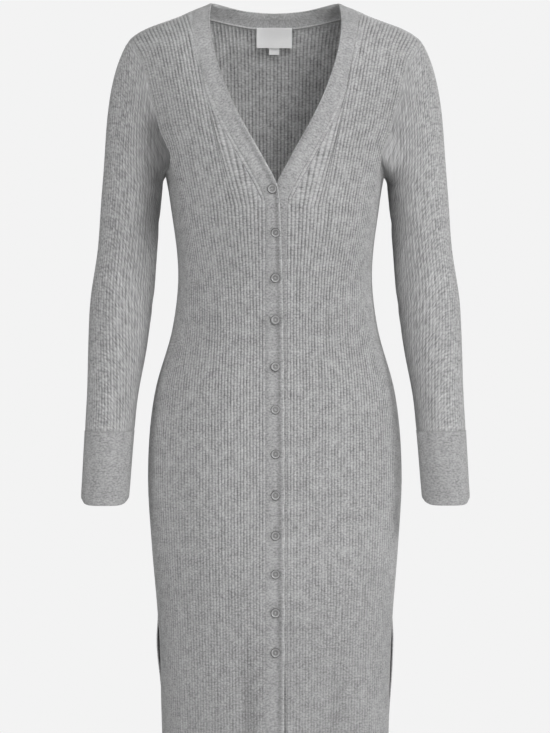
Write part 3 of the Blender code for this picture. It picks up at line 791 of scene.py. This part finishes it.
def halfPatches(part):
    # x and drop of each grid of points, its first column and how it meets the others
    perRib = body["pointsPerRib"]
    edge = part["alongBand"] * perRib
    toNeck, toShoulder = part["toNeck"] * perRib, part["toShoulder"] * perRib
    high = edge + toNeck + toShoulder
    count = perRib * part["ribs"]
    shares = np.linspace(0, 1, count + 1)
    ringX = ringTable(part["face"], part["startX"])

    skirtRows = round((length - waistDrop) / body["rowStep"]) + 1
    chest = chestDrop + (underarmDrop - chestDrop) * shares ** 2
    lines = [np.full_like(shares, drop) for drop in np.linspace(length, waistDrop, skirtRows)]
    lines += [waistDrop + (chest - waistDrop) * t
              for t in np.linspace(0, 1, body["chestRows"] + 1)[1:]]
    rows = [np.stack([ringX(line, easeShare(shares, bodyEase(line))), line], -1) for line in lines]
    low = rows[-1]
    low[-1] = armholeAt(0.0)
    patches = [(np.array(rows), 0, "body")]

    if edge:
        seam, line, fromShare = besideBand(part, low)
        t = np.linspace(0, 1, edge + 1)
        strip = seam[:, None] + (line - seam)[:, None] * t[:, None]
        strip[0] = low[:edge + 1]
        strip[-1] = shoulderLine(fromShare * t)
        patches.append((strip, 0, "edge"))
        neck = strip[:, -1]
    else:
        seam = bandSeam(np.linspace(bandRows[-1], ridge, fine))
        distance, x = travelled(seam), seam[:, 0]
        share = (distance / distance[-1] + (x - x[0]) / (x[-1] - x[0])) / 2
        neck = readLine(np.linspace(0, 1, toNeck + 1), share, seam)
        fromShare = 0.0
    onShoulder = shoulderLine(fromShare + (1 - fromShare) * np.linspace(0, 1, toShoulder + 1))
    top = np.concatenate([neck, onShoulder[1:]])

    # the yoke; its last column reaches the armhole and then follows it
    underShare, turnRow = body["underShare"], body["underRows"]
    rises = 1 - (1 - np.linspace(0, 1, body["yokeRows"] + 1)) ** 1.3
    turn = armholeAt(underShare)
    path = [low[high] + (turn - low[high]) * i / turnRow for i in range(turnRow + 1)]
    path += [armholeAt(underShare + (1 - underShare) * q)
             for q in np.linspace(0, 1, body["yokeRows"] - turnRow + 1)[1:]]
    pull = np.linspace(0, 1, high - edge + 1)[:, None] ** 1.4
    yoke = []
    for rise, reach in zip(rises, path):
        straight = low[edge:high + 1] + (top - low[edge:high + 1]) * rise
        yoke.append(straight + pull * (reach - straight[-1]))
    patches.append((np.array(yoke), edge, "yoke"))

    under = armholeAt(underShare * np.linspace(1, 0, count - high + 1))
    rises = np.linspace(0, 1, turnRow + 1)[:, None, None]
    patches.append((low[high:] + (under - low[high:]) * rises, high, "under"))
    return patches


slit = {                     # how its edges move sideways: metres, from and to a drop
    "frontLeft": (),
    "frontRight": ((-0.0012, 0.790, 0.840),),
    "backLeft": ((0.0044, 0.780, 0.830), (-0.0026, 0.860, 0.930)),
    "backRight": ((0.0044, 0.780, 0.830), (-0.0066, 0.830, 0.915)),
    "curl": 0.5,             # share of that by which they turn outwards
    "nearness": 10,          # the higher, the nearer to the edge
}


def openSlit(points, face, toLeft):
    # the front's edge draws in and the back's stands out; on the right it then slips behind
    edge = ("front" if face < 0 else "back") + ("Left" if toLeft else "Right")
    near = np.linspace(0, 1, points.shape[1]) ** slit["nearness"]
    amount = sum(move * blend(start, end, dropOf(points)) for move, start, end in slit[edge])
    points[..., 0] += amount * near
    points[..., 1] += np.abs(amount) * slit["curl"] * near * face


def panelHalf(part, folding, toLeft):
    # the patches of one half as walls: outer, inner, map, relief and tone
    face, perRib = part["face"], body["pointsPerRib"]
    walls = []
    for grid, firstColumn, kind in halfPatches(part):
        points = bodyPoint(face, grid[..., 0], grid[..., 1])
        rows, columns = grid.shape[:2]
        if kind in ("edge", "yoke"):
            onShoulder = part["toNeck"] * perRib if kind == "yoke" else 0
            points[-1, onShoulder:, 1] = 0.0
        else:
            points[:, -1, 1] = 0.0
        normals = bodyNormal(face, points)
        if kind == "body":
            openSlit(points, face, toLeft)
            run = alongRows(points)[-1]
            startRun = np.zeros(columns)
        else:
            startRun = run[firstColumn:firstColumn + columns]
        besideSeam = body["seamPlain"] if kind in ("body", "under") else None
        fade = fadeRibs(points, besideSeam, kind != "body")
        ribsIn = np.arange(columns) / perRib
        if kind in body["stripRise"] and part["alongBand"]:
            # faint next to the V band, but not at its foot
            beside = 1 - blend(0, body["stripFade"], ribsIn) if kind == "yoke" else np.ones(columns)
            rising = blend(*body["stripRise"][kind], np.linspace(0, 1, rows))
            fade *= 1 - (1 - body["stripRelief"]) * np.outer(rising, beside)
        if kind == "yoke":
            above = blend(body["underRows"] - 1, body["underRows"] + 2, np.arange(rows))
            fade *= 1 - np.outer(above, 1 - blend(0.2, body["seamPlain"], ribsIn[::-1]))
        drop = dropOf(points)
        fade *= lessened(drop, *body["lowRelief"])
        points, normals = mirrored(points, toLeft), mirrored(normals, toLeft)
        points, tone = pressFolds(points, normals, folding)
        tone *= lessened(drop, *body["lowShade"])
        uv = knitMap(points, columns, firstColumn, startRun)
        if not toLeft:
            uv[..., 0] *= -1
        sides = ribbedSides(points, normals, ribRise(points, fade, firstColumn))
        wall = [*sides, uv, fade, tone]
        walls.append(wall if toLeft else [v[:, ::-1] for v in wall])
    return walls


for name, node, toLeft in (("leftFront", "front_left", True), ("rightFront", "front_right", False)):
    walls = panelHalf(front, folds["front"], toLeft)
    settle(makeWall(name, walls, ribKnit), "rib_knit", node)
walls = panelHalf(back, folds["back"], True) + panelHalf(back, folds["back"], False)
settle(makeWall("backPanel", walls, ribKnit, body["insidePaintedLight"]), "rib_knit", "back")
print("fronts and back made")

buttonCount = 12
buttonNames = [f"button_{n:02d}" for n in range(1, buttonCount + 1)]
buttonBoxes = [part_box(name) for name in buttonNames]
buttonDrops = np.array([neckHeight - (low.z + high.z) / 2 for low, high in buttonBoxes])


def bandSurface():
    # middle surface of the left band from the hem over the shoulder to the centre back
    keys = np.linspace(0, bandRows[-1], 4001)
    middle = (bandEdge(keys) + bandSeam(keys)) / 2
    face = np.where(keys < ridge, -1, 1)
    line = np.array([bodyPoint(f, x, drop) for f, (x, drop) in zip(face, middle)])
    distance = travelled(line)
    total = distance[-1]
    run = np.linspace(0, total, round(total / band["rowStep"]) + 1)
    atRidge = np.interp(ridge, keys, distance)
    run[np.argmin(abs(run - atRidge))] = atRidge
    ends = np.array(band["edgeRound"]) / band["width"]
    share = np.r_[ends, np.linspace(ends[-1], band["tuckShare"], band["across"] + 1)[1:]]
    points, normals = [], []
    for key in np.interp(run, distance, keys):
        side = -1 if key < ridge - 1e-6 else 1
        place = bandEdge(key) + (bandSeam(key) - bandEdge(key)) * share[:, None]
        row = bodyPoint(side, place[:, 0], place[:, 1])
        if abs(key - ridge) < 1e-6:
            row[:, 1] = 0.0
        points.append(row)
        normals.append(bodyNormal(side, row))
    normals = np.array(normals)
    normals[-1, :, 0] = 0.0
    return np.array(points), unit(normals), share, run


def hump(place, amount, middle, reach):
    return amount * np.exp(-((place - middle) / reach) ** 2)


def makeBand(name, node, toLeft):
    points, normals, share, run = bandSurface()
    drop = dropOf(points)
    inFront = points[..., 1] < 0
    lap = blend(band["partDrop"], band["lapDrop"], drop) * inFront
    loose = blend(*band["vDrops"], drop)
    if toLeft:
        # the under band falls back where the bands part below the last button
        away = band["partDepth"] * blend(band["partFrom"], band["partTo"], drop) * inFront
        lift = -away * np.clip(1 - share, 0, 1) ** 0.8
        # painted shade along the under band's edge up the V
        tone = 1 - hump(share, *band["turnShade"]) * (loose * inFront)
    else:
        # the top band's edge stands up, and swings out beside each button
        rowDrop = drop[:, 0]
        swing = hump(drop[:, :1], 1, buttonDrops, band["scallopWidth"]).sum(1)
        swing = swing * blend(*band["scallopDrops"], rowDrop)
        sideways = np.outer(swing - 0.35 * blend(0.45, 0.65, rowDrop), (1 - share) ** 3)
        points[..., 0] -= band["scallop"] * sideways
        nearEdge = np.clip(1 - share / 0.42, 0, 1) ** 1.6
        lift = band["edgeLift"] * lap * nearEdge * (1 - 0.45 * swing[:, None])
        # a painted highlight along the edge, and painted shade along the button line
        highlightAndShade = hump(share, *band["edgeHighlight"]) - hump(share, *band["buttonLineShade"])
        tone = 1 + blend(0.12, 0.19, drop) * inFront * highlightAndShade
    points, normals = mirrored(points, toLeft), mirrored(normals, toLeft)
    layer = (band["wall"] + band["layerGap"]) / 2 * (-1 if toLeft else 1)
    # plain cloth is never quite even
    wave = np.sin(run[:, None] * 63 + share * 3) * np.sin(run[:, None] * 27 + 1)
    # up the V the cloth runs on flat over the seam
    flat = band["flatSeam"] * blend(0.70, 0.97, share) * (1 - loose) * inFront
    tuck = band["tuckDepth"] * blend(0.97, band["tuckShare"], share)
    offset = lap * layer * (1 - blend(0.80, 1.0, share)) + lift + band["sway"] * wave - flat - tuck
    middle = points + normals * offset[..., None]
    depth = share * band["width"] / band["edgeRound"][-1]
    inside = np.clip(depth, 0, 1)
    half = band["wall"] / 2 * np.sqrt(np.clip(1 - (1 - inside) ** 2, 0.02, 1))
    half = half + hump(share, *band["edgeBead"]) * inside
    outer, inner = middle + normals * half[:, None], middle - normals * (half * 0.8)[:, None]
    uv = np.stack(np.broadcast_arrays(share * band["width"], run[:, None]), -1) / knit["unit"]
    wall = (outer, inner, uv, 1.0, tone)
    settle(makeWall(name, [wall], plainKnit, band["insidePaintedLight"]), "plain_knit", node)


makeBand("underBand", "band_left", True)
makeBand("topBand", "band_right", False)
print("bands made")


# a sleeve's ring runs down its front half from the shoulder line, then up its back half
def sleeveShares(columns, ease):
    place = np.linspace(-1, 1, columns // 2 + 1)
    return (1 + easeShare(place, ease)) / 2


def bothHalves(front, back):
    return np.concatenate([front, back[-2:0:-1]])


def sleeveRing(drop, columns, ease=None):
    ease = float(sleeveEase(drop)) if ease is None else ease
    angle = np.linspace(0, math.pi, fine)
    x = sleeveX(drop) + sleeveHalfWidth(drop) * np.cos(angle)
    halves = []
    for face in (-1, 1):
        y = sleeveY(drop) + face * sleeveHalfDepth(drop) * np.sin(angle)
        line = along(np.stack([x, y, np.full_like(x, neckHeight - drop)], -1))
        halves.append(line(sleeveShares(columns, ease)))
    return bothHalves(*halves)


def armholeRing(columns):
    halves = []
    places = armholeAt(np.linspace(1, 0, fine))
    for face in (-1, 1):
        points = bodyPoint(face, places[:, 0], places[:, 1])
        points[[0, -1], 1] = 0.0
        halves.append(along(points)(sleeveShares(columns, 1.0)))
    return bothHalves(*halves)


def capRows(columns):
    # from the armhole out and down to the sleeve's first ring
    start = armholeRing(columns)
    first = sleeve["rings"][0][0]
    end = sleeveRing(first, columns)
    down = unit(sleeveRing(first + sleeve["tangentStep"], columns, float(sleeveEase(first))) - end)
    share = sleeveShares(columns, 1.0)
    share = bothHalves(share, share)
    side = np.sin(math.pi * share)
    lean = (sleeve["leanTop"] * (1 - share) ** 2 + sleeve["leanSide"] * side
            + sleeve["leanUnder"] * share ** 2)
    sideways = sleeve["swell"] * side * np.sign(start[:, 1])
    leave = unit(np.stack([np.sin(lean), sideways, -np.cos(lean)], -1))
    reach = np.linalg.norm(end - start, axis=-1, keepdims=True)
    leave, down = reach * sleeve["pullStart"] * leave, reach * sleeve["pullEnd"] * down
    shares = np.linspace(0, 1, sleeve["capRows"] + 1)
    return [hermite(u, start, end, leave, down) for u in shares]


def readRing(ring, place):
    # a ring's points at places counted in its columns
    loop = np.concatenate([ring, ring[:1]])
    return readLine(place % len(ring), np.arange(len(loop)), loop)


def turnRibs(row, down):
    # the cap's ribs run down the arm, so those in front end higher up on the seam
    half = len(row) // 2
    t = np.linspace(0, 1, half + 1)
    t += (t ** sleeve["capTurn"] - t) * (1 - down) ** 1.5
    return readRing(row, bothHalves(t, 2 - t) * half)


def ringNormals(points):
    across = np.roll(points, -1, axis=1) - np.roll(points, 1, axis=1)
    return unit(np.cross(across, np.gradient(points, axis=0)))


def twist(drop):
    # columns by which the ribs wander towards the body, as the forearm bends forward
    return sleeve["twistRibs"] * body["pointsPerRib"] * blend(*sleeve["twistDrops"], drop)


def turnOf(points):
    # place round the rounded sleeve: 0 outside, 0.25 front, 0.5 body side, 0.75 back
    columns = points.shape[1]
    return (np.arange(columns) + twist(dropOf(points))) / columns


def pressSleeve(points, normals):
    # slack creases across the elbow and under the arm
    drop, turn = dropOf(points), turnOf(points)
    depth = np.zeros(drop.shape)
    for at, mid, rise, deep, width, reach in sleeve["creases"]:
        side = (turn - at + 0.5) % 1 - 0.5
        depth += deep * np.exp(-((drop - (mid + rise * side)) / width) ** 2 - (side / reach) ** 2)
    wave = np.sin(drop * 31 + 6.283 * turn) * np.sin(drop * 17 + 12.57 * turn)
    depth += sleeve["sway"] * wave * blend(0.10, 0.22, drop)
    depth *= blend(0, 5, np.arange(len(points)))[:, None]
    return points - normals * depth[..., None]


def sleevePaintedShade(points, toLeft):
    # painted shade: the cloth is darker where it is pinched under the arm, and down the side next to
    # the body, more on one sleeve than the other
    drop, turn = dropOf(points), turnOf(points)
    tone = np.ones(drop.shape)
    for at, reach, start, end, amount in sleeve["shade"][toLeft]:
        lasting = blend(start, start + 0.04, drop) * (1 - blend(end - 0.08, end, drop))
        tone -= hump(turn, amount, at, reach) * lasting
    return tone


def makeSleeve(name, node, toLeft):
    columns = sleeve["ribs"] * body["pointsPerRib"]
    rows = [turnRibs(row, i / sleeve["capRows"]) for i, row in enumerate(capRows(columns))]
    first, end = sleeve["rings"][0][0], sleeve["end"]
    for drop in np.linspace(first, end, round((end - first) / sleeve["rowStep"]) + 1)[1:]:
        rows.append(readRing(sleeveRing(drop, columns), np.arange(columns) + twist(drop)))
    points = np.array(rows)
    normals = ringNormals(points)
    points = pressSleeve(points, normals)
    fade = fadeRibs(points, topPlain=False, lowPlain=True)
    # hardly any relief where the ribs meet under the arm
    column = np.arange(columns)
    under = np.abs(column / columns - 0.5)
    low = 1 - blend(0.4, 1.3, np.arange(len(points)) / sleeve["capRows"])
    fade *= 1 - (1 - sleeve["underRelief"]) * np.outer(low, 1 - blend(0.03, 0.17, under))
    outside = np.minimum(column, columns - column) / columns
    fade *= sleeve["relief"][toLeft] * blend(-0.10, 0.12, outside)
    rise = ribRise(points, fade)
    rise[-1] *= 0.3
    outer, inner = [mirrored(side, toLeft) for side in ribbedSides(points, normals, rise)]
    wall = (outer, inner, knitMap(points, columns + 1), fade, sleevePaintedShade(points, toLeft))
    settle(makeWall(name, [wall], sleeveKnit), "rib_knit", node)


def makeCuff(name, node, toLeft):
    sides, edge = cuff["sides"], cuff["edgeRound"]
    height = cuff["end"] - cuff["top"]
    ends, rows = np.array([0, 0.3 * edge]), np.linspace(edge, height - edge, cuff["rows"])
    steps = np.r_[ends, rows, height - ends[::-1]]
    points = np.array([sleeveRing(cuff["top"] + s, sides, 1.0) for s in steps])
    # the rim rises a little towards the sides, and draws in there
    inwards = points[..., 0].mean(1, keepdims=True) - points[..., 0]
    sideways = np.abs(inwards) / np.abs(inwards).max(1, keepdims=True)
    rising, tucking = [blend(low, 1.0, steps / height)[:, None] for low in (0.6, 0.93)]
    points[..., 2] += cuff["rimRise"] * sideways ** 5 * rising
    points[..., 0] += cuff["rimTuck"] * inwards * sideways ** 4 * tucking
    normals = ringNormals(points)
    depth = np.clip(np.minimum(steps, height - steps) / edge, 0, 1)
    thickness = np.sqrt(np.clip(1 - (1 - depth) ** 2, 0.05, 1)) * cuff["wall"]
    half = normals * thickness[:, None, None] / 2
    middle = points + normals * cuff["offset"]
    outer, inner = mirrored(middle + half, toLeft), mirrored(middle - half, toLeft)
    around = np.linspace(0, fullTurn * cuff["mapRadius"], sides + 1)
    uv = np.stack(np.broadcast_arrays(around, steps[:, None]), -1) / knit["unit"]
    settle(makeWall(name, [(outer, inner, uv, 1.0, 1.0)], plainKnit), "plain_knit", node)


for side, toLeft in (("left", True), ("right", False)):
    makeSleeve(side + "Sleeve", f"sleeve_{side}", toLeft)
    makeCuff(side + "Cuff", f"cuff_{side}", toLeft)
print("sleeves and cuffs made")

button = {
    "section": (             # radius and height of the turned face, from the seat's edge inwards
        (0.0000, 0.0), (0.0052, 0.0), (0.0057, 0.0003), (0.0060, 0.0009), (0.0060, 0.0015),
        (0.0057, 0.0021), (0.0053, 0.0024), (0.0048, 0.0023), (0.0044, 0.0019), (0.0041, 0.00165),
        (0.0036, 0.0015), (0.0030, 0.00145), (0.0024, 0.00142), (0.0020, 0.00141), (0.0016, 0.0014),
        (0.0012, 0.0014), (0.0008, 0.0014), (0.0004, 0.0014), (0.0000, 0.0014),
    ),
    "thickness": 0.0024,
    "sides": 40,
    "shade": (               # painted shade and highlight: grey by the distance from the centre
        (0.0, 0.26), (0.0018, 0.22), (0.0026, 0.13), (0.0034, 0.20), (0.0042, 0.32),
        (0.0050, 0.32), (0.0055, 0.11), (0.0060, 0.05),
    ),
    "sideFrom": (0.0051, 0.0018),    # beyond this radius and below this height is its side
    "sideShade": 0.035,
    "holeAt": 0.0013,
    "holeRadius": 0.00075,
    "holeDepth": 0.0011,
    "threadAt": (-0.00022, 0.00022),
    "threadHeight": 0.0014,
    "threadRadius": 0.00028,
    "spin": (90, 37, 2.3),   # each is sewn on at an angle of its own
    "sharpAngle": 50,
}


def buttonShape():
    rows = []
    angle = np.linspace(0, fullTurn, button["sides"], endpoint=False)
    for number, (r, h) in enumerate(button["section"]):
        ring = np.stack([r * np.cos(angle), r * np.sin(angle), np.full_like(angle, h)], -1)
        if number > 5:
            for centre in (-button["holeAt"], button["holeAt"]):
                away = np.hypot(ring[:, 0] - centre, ring[:, 1])
                inHole = 1 - blend(0.6, 1.15, away / button["holeRadius"])
                ring[:, 2] -= button["holeDepth"] * inHole
        rows.append(ring)
    return np.array(rows)


def turned(rows):
    # a closed solid from rings whose first and last shrink to a point
    sides = rows.shape[1]
    corners = np.concatenate([rows[0, :1], rows[1:-1].reshape(-1, 3), rows[-1, :1]])
    ring = 1 + np.arange(len(rows) - 2)[:, None] * sides + np.arange(sides + 1)[None, :] % sides
    quads = np.stack(cells(ring), -1).reshape(-1, 4)
    last = len(corners) - 1
    caps = [(0, ring[0, i + 1], ring[0, i]) for i in range(sides)]
    caps += [(last, ring[-1, i], ring[-1, i + 1]) for i in range(sides)]
    return corners, [tuple(map(int, face)) for face in quads.tolist() + caps]


def tube(points, radius, sides=6):
    # corners and faces of a round thread along points
    tangent = unit(np.gradient(points, axis=0))
    one = unit(np.cross(tangent, np.array([0.0, 1.0, 0.3])))
    two = np.cross(tangent, one)
    angle = np.linspace(0, fullTurn, sides, endpoint=False)[:, None]
    rings = points[:, None] + radius * (np.cos(angle) * one[:, None] + np.sin(angle) * two[:, None])
    start, end = [np.repeat(tip[None, None], sides, 1) for tip in (points[0], points[-1])]
    return turned(np.concatenate([start, rings, end]))


def moved(points, matrix):
    return points @ matrix[:3, :3].T + matrix[:3, 3]


def makeButtons():
    shape, faces = turned(buttonShape())
    away, height = np.hypot(shape[:, 0], shape[:, 1]), shape[:, 2]
    # painted shade at the outer edge, down the side and in a ring round the centre, and a painted
    # highlight at the centre
    tone = np.interp(away, *zip(*button["shade"]))
    sideRadius, sideHeight = button["sideFrom"]
    tone[(away > sideRadius) & (height < sideHeight)] = button["sideShade"]
    u = np.linspace(-1, 1, 9)
    bow = button["threadHeight"] + 0.00045 * (1 - u ** 4) - 0.0006 * u ** 8
    threads, threadFaces, count = [], [], 0
    for number, (low, high) in enumerate(buttonBoxes, 1):
        centre = (low + high) / 2
        outward = Vector(bodyNormal(-1, bodyPoint(-1, centre.x, neckHeight - centre.z)))
        place = Vector(centre) - outward * button["thickness"] / 2
        turn = outward.to_track_quat("Z", "Y").to_matrix().to_4x4()
        start, swing, pace = button["spin"]
        spin = Matrix.Rotation(math.radians(start + swing * math.sin(number * pace)), 4, "Z")
        matrix = np.array(Matrix.Translation(place) @ turn @ spin)
        shown = makePiece(f"button{number:02d}", faces, moved(shape, matrix), buttonResin,
                          tone=tone, sharpAngle=button["sharpAngle"])
        settle(shown, "button", buttonNames[number - 1])
        for offset in button["threadAt"]:
            path = np.stack([u * button["holeAt"], np.full_like(u, offset), bow], -1)
            corners, sides = tube(moved(path, matrix), button["threadRadius"])
            threads.append(corners)
            threadFaces += [tuple(c + count for c in face) for face in sides]
            count += len(corners)
    corners = np.concatenate(threads)
    shown = makePiece("buttonThread", threadFaces, corners, seamYarn, sharpAngle=button["sharpAngle"])
    settle(shown, "plain_knit")


makeButtons()
print("buttons made")

# the bare label and its tab inside the back neck
label = {
    "pieces": {              # name, node: width, drops of top and foot, depth below the outer side
        ("neckLabel", "neck_label"): (0.0470, 0.0215, 0.0463, 0.0026),
        ("labelTab", "label_tab"): (0.0140, 0.0215, 0.0553, 0.0018),
    },
    "wall": 0.0004,
    "hang": 0.0036,          # the foot hangs this far clear
    "curl": 0.0014,          # and the sides
    "across": 24,
    "down": 16,
    "sewn": (0.0225, 0.0227, 0.0032),    # its stitches: half width, drop, depth
}


def makeLabel(name, node, width, top, foot, depth):
    x = np.linspace(-width / 2, width / 2, label["across"] + 1)
    t = np.linspace(0, 1, label["down"] + 1)[:, None]
    drops = top + (foot - top) * t
    grid = bodyPoint(1, x, drops)
    normals = bodyNormal(1, grid)
    wave = 0.00015 * np.sin(x / width * 5 + 1) * t
    curl = label["curl"] * (np.abs(x) / (width / 2)) ** 4 * t ** 0.5
    off = depth + label["hang"] * t ** 1.5 + wave + curl
    outer = grid - normals * off[..., None]
    uv = np.stack(np.broadcast_arrays(x, drops), -1) / knit["unit"]
    inner = outer - normals * label["wall"]
    settle(makeWall(name, [(outer, inner, uv, 1.0, 1.0)], labelTape), "label_tape", node)


for (name, node), sizes in label["pieces"].items():
    makeLabel(name, node, *sizes)
print("label made")

# linked and sewn rows, by Geometry Nodes
sewing = {                   # each kind: spacing, length and width of a stitch
    "linked": (0.0021, 0.0025, 0.00075),
    "neckRidge": (0.0019, 0.0029, 0.0021),
    "fine": (0.0016, 0.0013, 0.00045),
    "stray": (0.82, 1.18),   # how far single stitches stray from that size
}


def stitchTree():
    tree = bpy.data.node_groups.new("stitchRow", "GeometryNodeTree")
    sockets = (("Geometry", "Geometry"), ("Spacing", "Float"), ("Stitch Length", "Float"),
               ("Stitch Width", "Float"), ("Seed", "Int"), ("Yarn", "Material"))
    for name, kind in sockets:
        tree.interface.new_socket(name, in_out="INPUT", socket_type="NodeSocket" + kind)
    tree.interface.new_socket("Geometry", in_out="OUTPUT", socket_type="NodeSocketGeometry")
    given = tree.nodes.new("NodeGroupInput").outputs
    line = addNode(tree, "GeometryNodeMeshToCurve", {"Mesh": given["Geometry"]})
    sockets = {"Curve": line, "Length": given["Spacing"]}
    even = addNode(tree, "GeometryNodeResampleCurve", sockets, mode="LENGTH")
    grain = addNode(tree, "GeometryNodeMeshUVSphere", {"Segments": 6, "Rings": 5, "Radius": 0.5})
    sockets = {"Vector": addNode(tree, "GeometryNodeInputTangent")}
    turn = addNode(tree, "FunctionNodeAlignRotationToVector", sockets, axis="X")
    width = given["Stitch Width"]
    size = addNode(tree, "ShaderNodeCombineXYZ", {0: given["Stitch Length"], 1: width, 2: width})
    least, most = sewing["stray"]
    sockets = {"Seed": given["Seed"], 2: least, 3: most}
    share = addNode(tree, "FunctionNodeRandomValue", sockets, data_type="FLOAT").outputs[1]
    size = addNode(tree, "ShaderNodeVectorMath", {0: size, "Scale": share}, operation="SCALE")
    placed = addNode(tree, "GeometryNodeInstanceOnPoints", {
        "Points": even, "Instance": grain, "Rotation": turn, "Scale": size,
    })
    real = addNode(tree, "GeometryNodeRealizeInstances", {0: placed})
    soft = addNode(tree, "GeometryNodeSetShadeSmooth", {"Geometry": real})
    painted = addNode(tree, "GeometryNodeSetMaterial", {"Geometry": soft, "Material": given["Yarn"]})
    addNode(tree, "NodeGroupOutput", {0: painted})
    return tree


stitchRow = stitchTree()


def sewRows(name, paths, kind, seed, material, slot):
    edges, count = [], 0
    for path in paths:
        edges += [(count + i, count + i + 1) for i in range(len(path) - 1)]
        count += len(path)
    mesh = bpy.data.meshes.new(name)
    mesh.from_pydata(np.concatenate(paths).tolist(), edges, [])
    piece = link(name, mesh)
    modifier = piece.modifiers.new("stitches", "NODES")
    modifier.node_group = stitchRow
    values = dict(zip(("Spacing", "Stitch Length", "Stitch Width"), sewing[kind]))
    values.update({"Seed": seed, "Yarn": material})
    for socket in stitchRow.interface.items_tree:
        if socket.in_out == "INPUT" and socket.name in values:
            modifier[socket.identifier] = values[socket.name]
    made = piece.evaluated_get(bpy.context.evaluated_depsgraph_get())
    plain = bpy.data.meshes.new_from_object(made)
    piece.modifiers.remove(modifier)
    piece.data = plain
    bpy.data.meshes.remove(mesh)
    settle(piece, slot)


def onBody(face, places, out):
    # points on the body's surface at x and drop, moved out along its normal
    points = bodyPoint(face, places[:, 0], places[:, 1])
    return points + bodyNormal(face, points) * out


seam = {
    "out": 0.00024,          # how far a row of stitches stands out from the cloth
    "ends": (0.02, 0.98),    # share of an edge that is sewn
    "sideEnds": (0.004, 0.002),
    "cuffRadius": 0.032,
    "cuffOut": 0.0009,
    "neckDrop": 0.0006,
    "neckDepth": 0.0004,
    "joinEnd": 0.001,
    "joinOut": 0.0001,
    "holeWidth": 0.0076,     # half of a buttonhole's width and height
    "holeHeight": 0.0008,
    "holeOut": 0.00005,
}


def seamPaths():
    out = seam["out"]
    paths = [onBody(face, armholeAt(np.linspace(*seam["ends"], 90)), out) for face in (-1, 1)]
    x, drops = shoulderLine(np.linspace(*seam["ends"], 40)).T
    paths.append(np.stack([x, np.zeros(40), neckHeight - drops + out], -1))
    top, foot = seam["sideEnds"]
    drops = np.linspace(underarmDrop + top, slitDrop - foot, 120)
    paths.append(np.stack([halfWidth(drops) + out, np.zeros(120), neckHeight - drops], -1))
    ring = sleeveRing(cuff["top"], cuff["sides"])
    centre = ring.mean(0)
    ring = centre + (ring - centre) * (1 + seam["cuffOut"] / seam["cuffRadius"])
    ring[:, 2] = centre[2]
    paths.append(np.concatenate([ring, ring[:1]]))
    return paths + [mirrored(path, False) for path in paths]


sewRows("seamRows", seamPaths(), "linked", 3, seamYarn, "rib_knit")

neckLine = bandSeam(np.linspace(ridge, bandRows[-1], 60)) + np.array([0, seam["neckDrop"]])
neckRidge = onBody(1, neckLine, -(body["wall"] + seam["neckDepth"]))
neckRidge = np.concatenate([neckRidge, mirrored(neckRidge[-2::-1], False)])
sewRows("neckRidge", [neckRidge], "neckRidge", 5, seamYarn, "plain_knit")

# the two bands' join at the centre back, the label's top edge and the buttonholes
top, foot = band["rows"][-1][2] + seam["joinEnd"], band["rows"][-1][4] - seam["joinEnd"]
joinLine = np.stack([np.zeros(12), np.linspace(top, foot, 12)], -1)
joinOut = band["wall"] / 2 + seam["joinOut"]
joinRows = [onBody(1, joinLine, side * joinOut) for side in (-1, 1)]
sewRows("joinRows", joinRows, "linked", 7, seamYarn, "plain_knit")

half, top, depth = label["sewn"]
tapeLine = np.stack([np.linspace(-half, half, 40), np.full(40, top)], -1)
sewRows("labelStitches", [onBody(1, tapeLine, -depth)], "fine", 9, labelTape, "label_tape")

holes = []
angle = np.linspace(0, fullTurn, 33)
for (low, high), drop in zip(buttonBoxes, buttonDrops):
    x = (low.x + high.x) / 2 + seam["holeWidth"] * np.cos(angle)
    places = np.stack([x, drop + seam["holeHeight"] * np.sin(angle)], -1)
    holes.append(onBody(-1, places, band["wall"] + band["layerGap"] / 2 + seam["holeOut"]))
sewRows("buttonholes", holes, "fine", 11, seamYarn, "plain_knit")
print("stitches made")

sides, radius = studio["floorSides"], studio["floorRadius"]
rim = [(radius * math.cos(a), radius * math.sin(a), neckHeight - studio["floorDrop"])
       for a in np.linspace(0, fullTurn, sides, endpoint=False)]
floorMesh = bpy.data.meshes.new("floor")
floorMesh.from_pydata(rim, [], [list(range(sides))])
floorPaint, tree, shader = newMaterial("floorPaint")
grain = noise(tree, objectPlace(tree), 3.0, 3)
feed(shader, tree, {
    "Base Color": mapRange(tree, grain, *studio["floorTones"]),
    "Roughness": 0.7,
})
floorMesh.materials.append(floorPaint)
floor = link("floor", floorMesh)
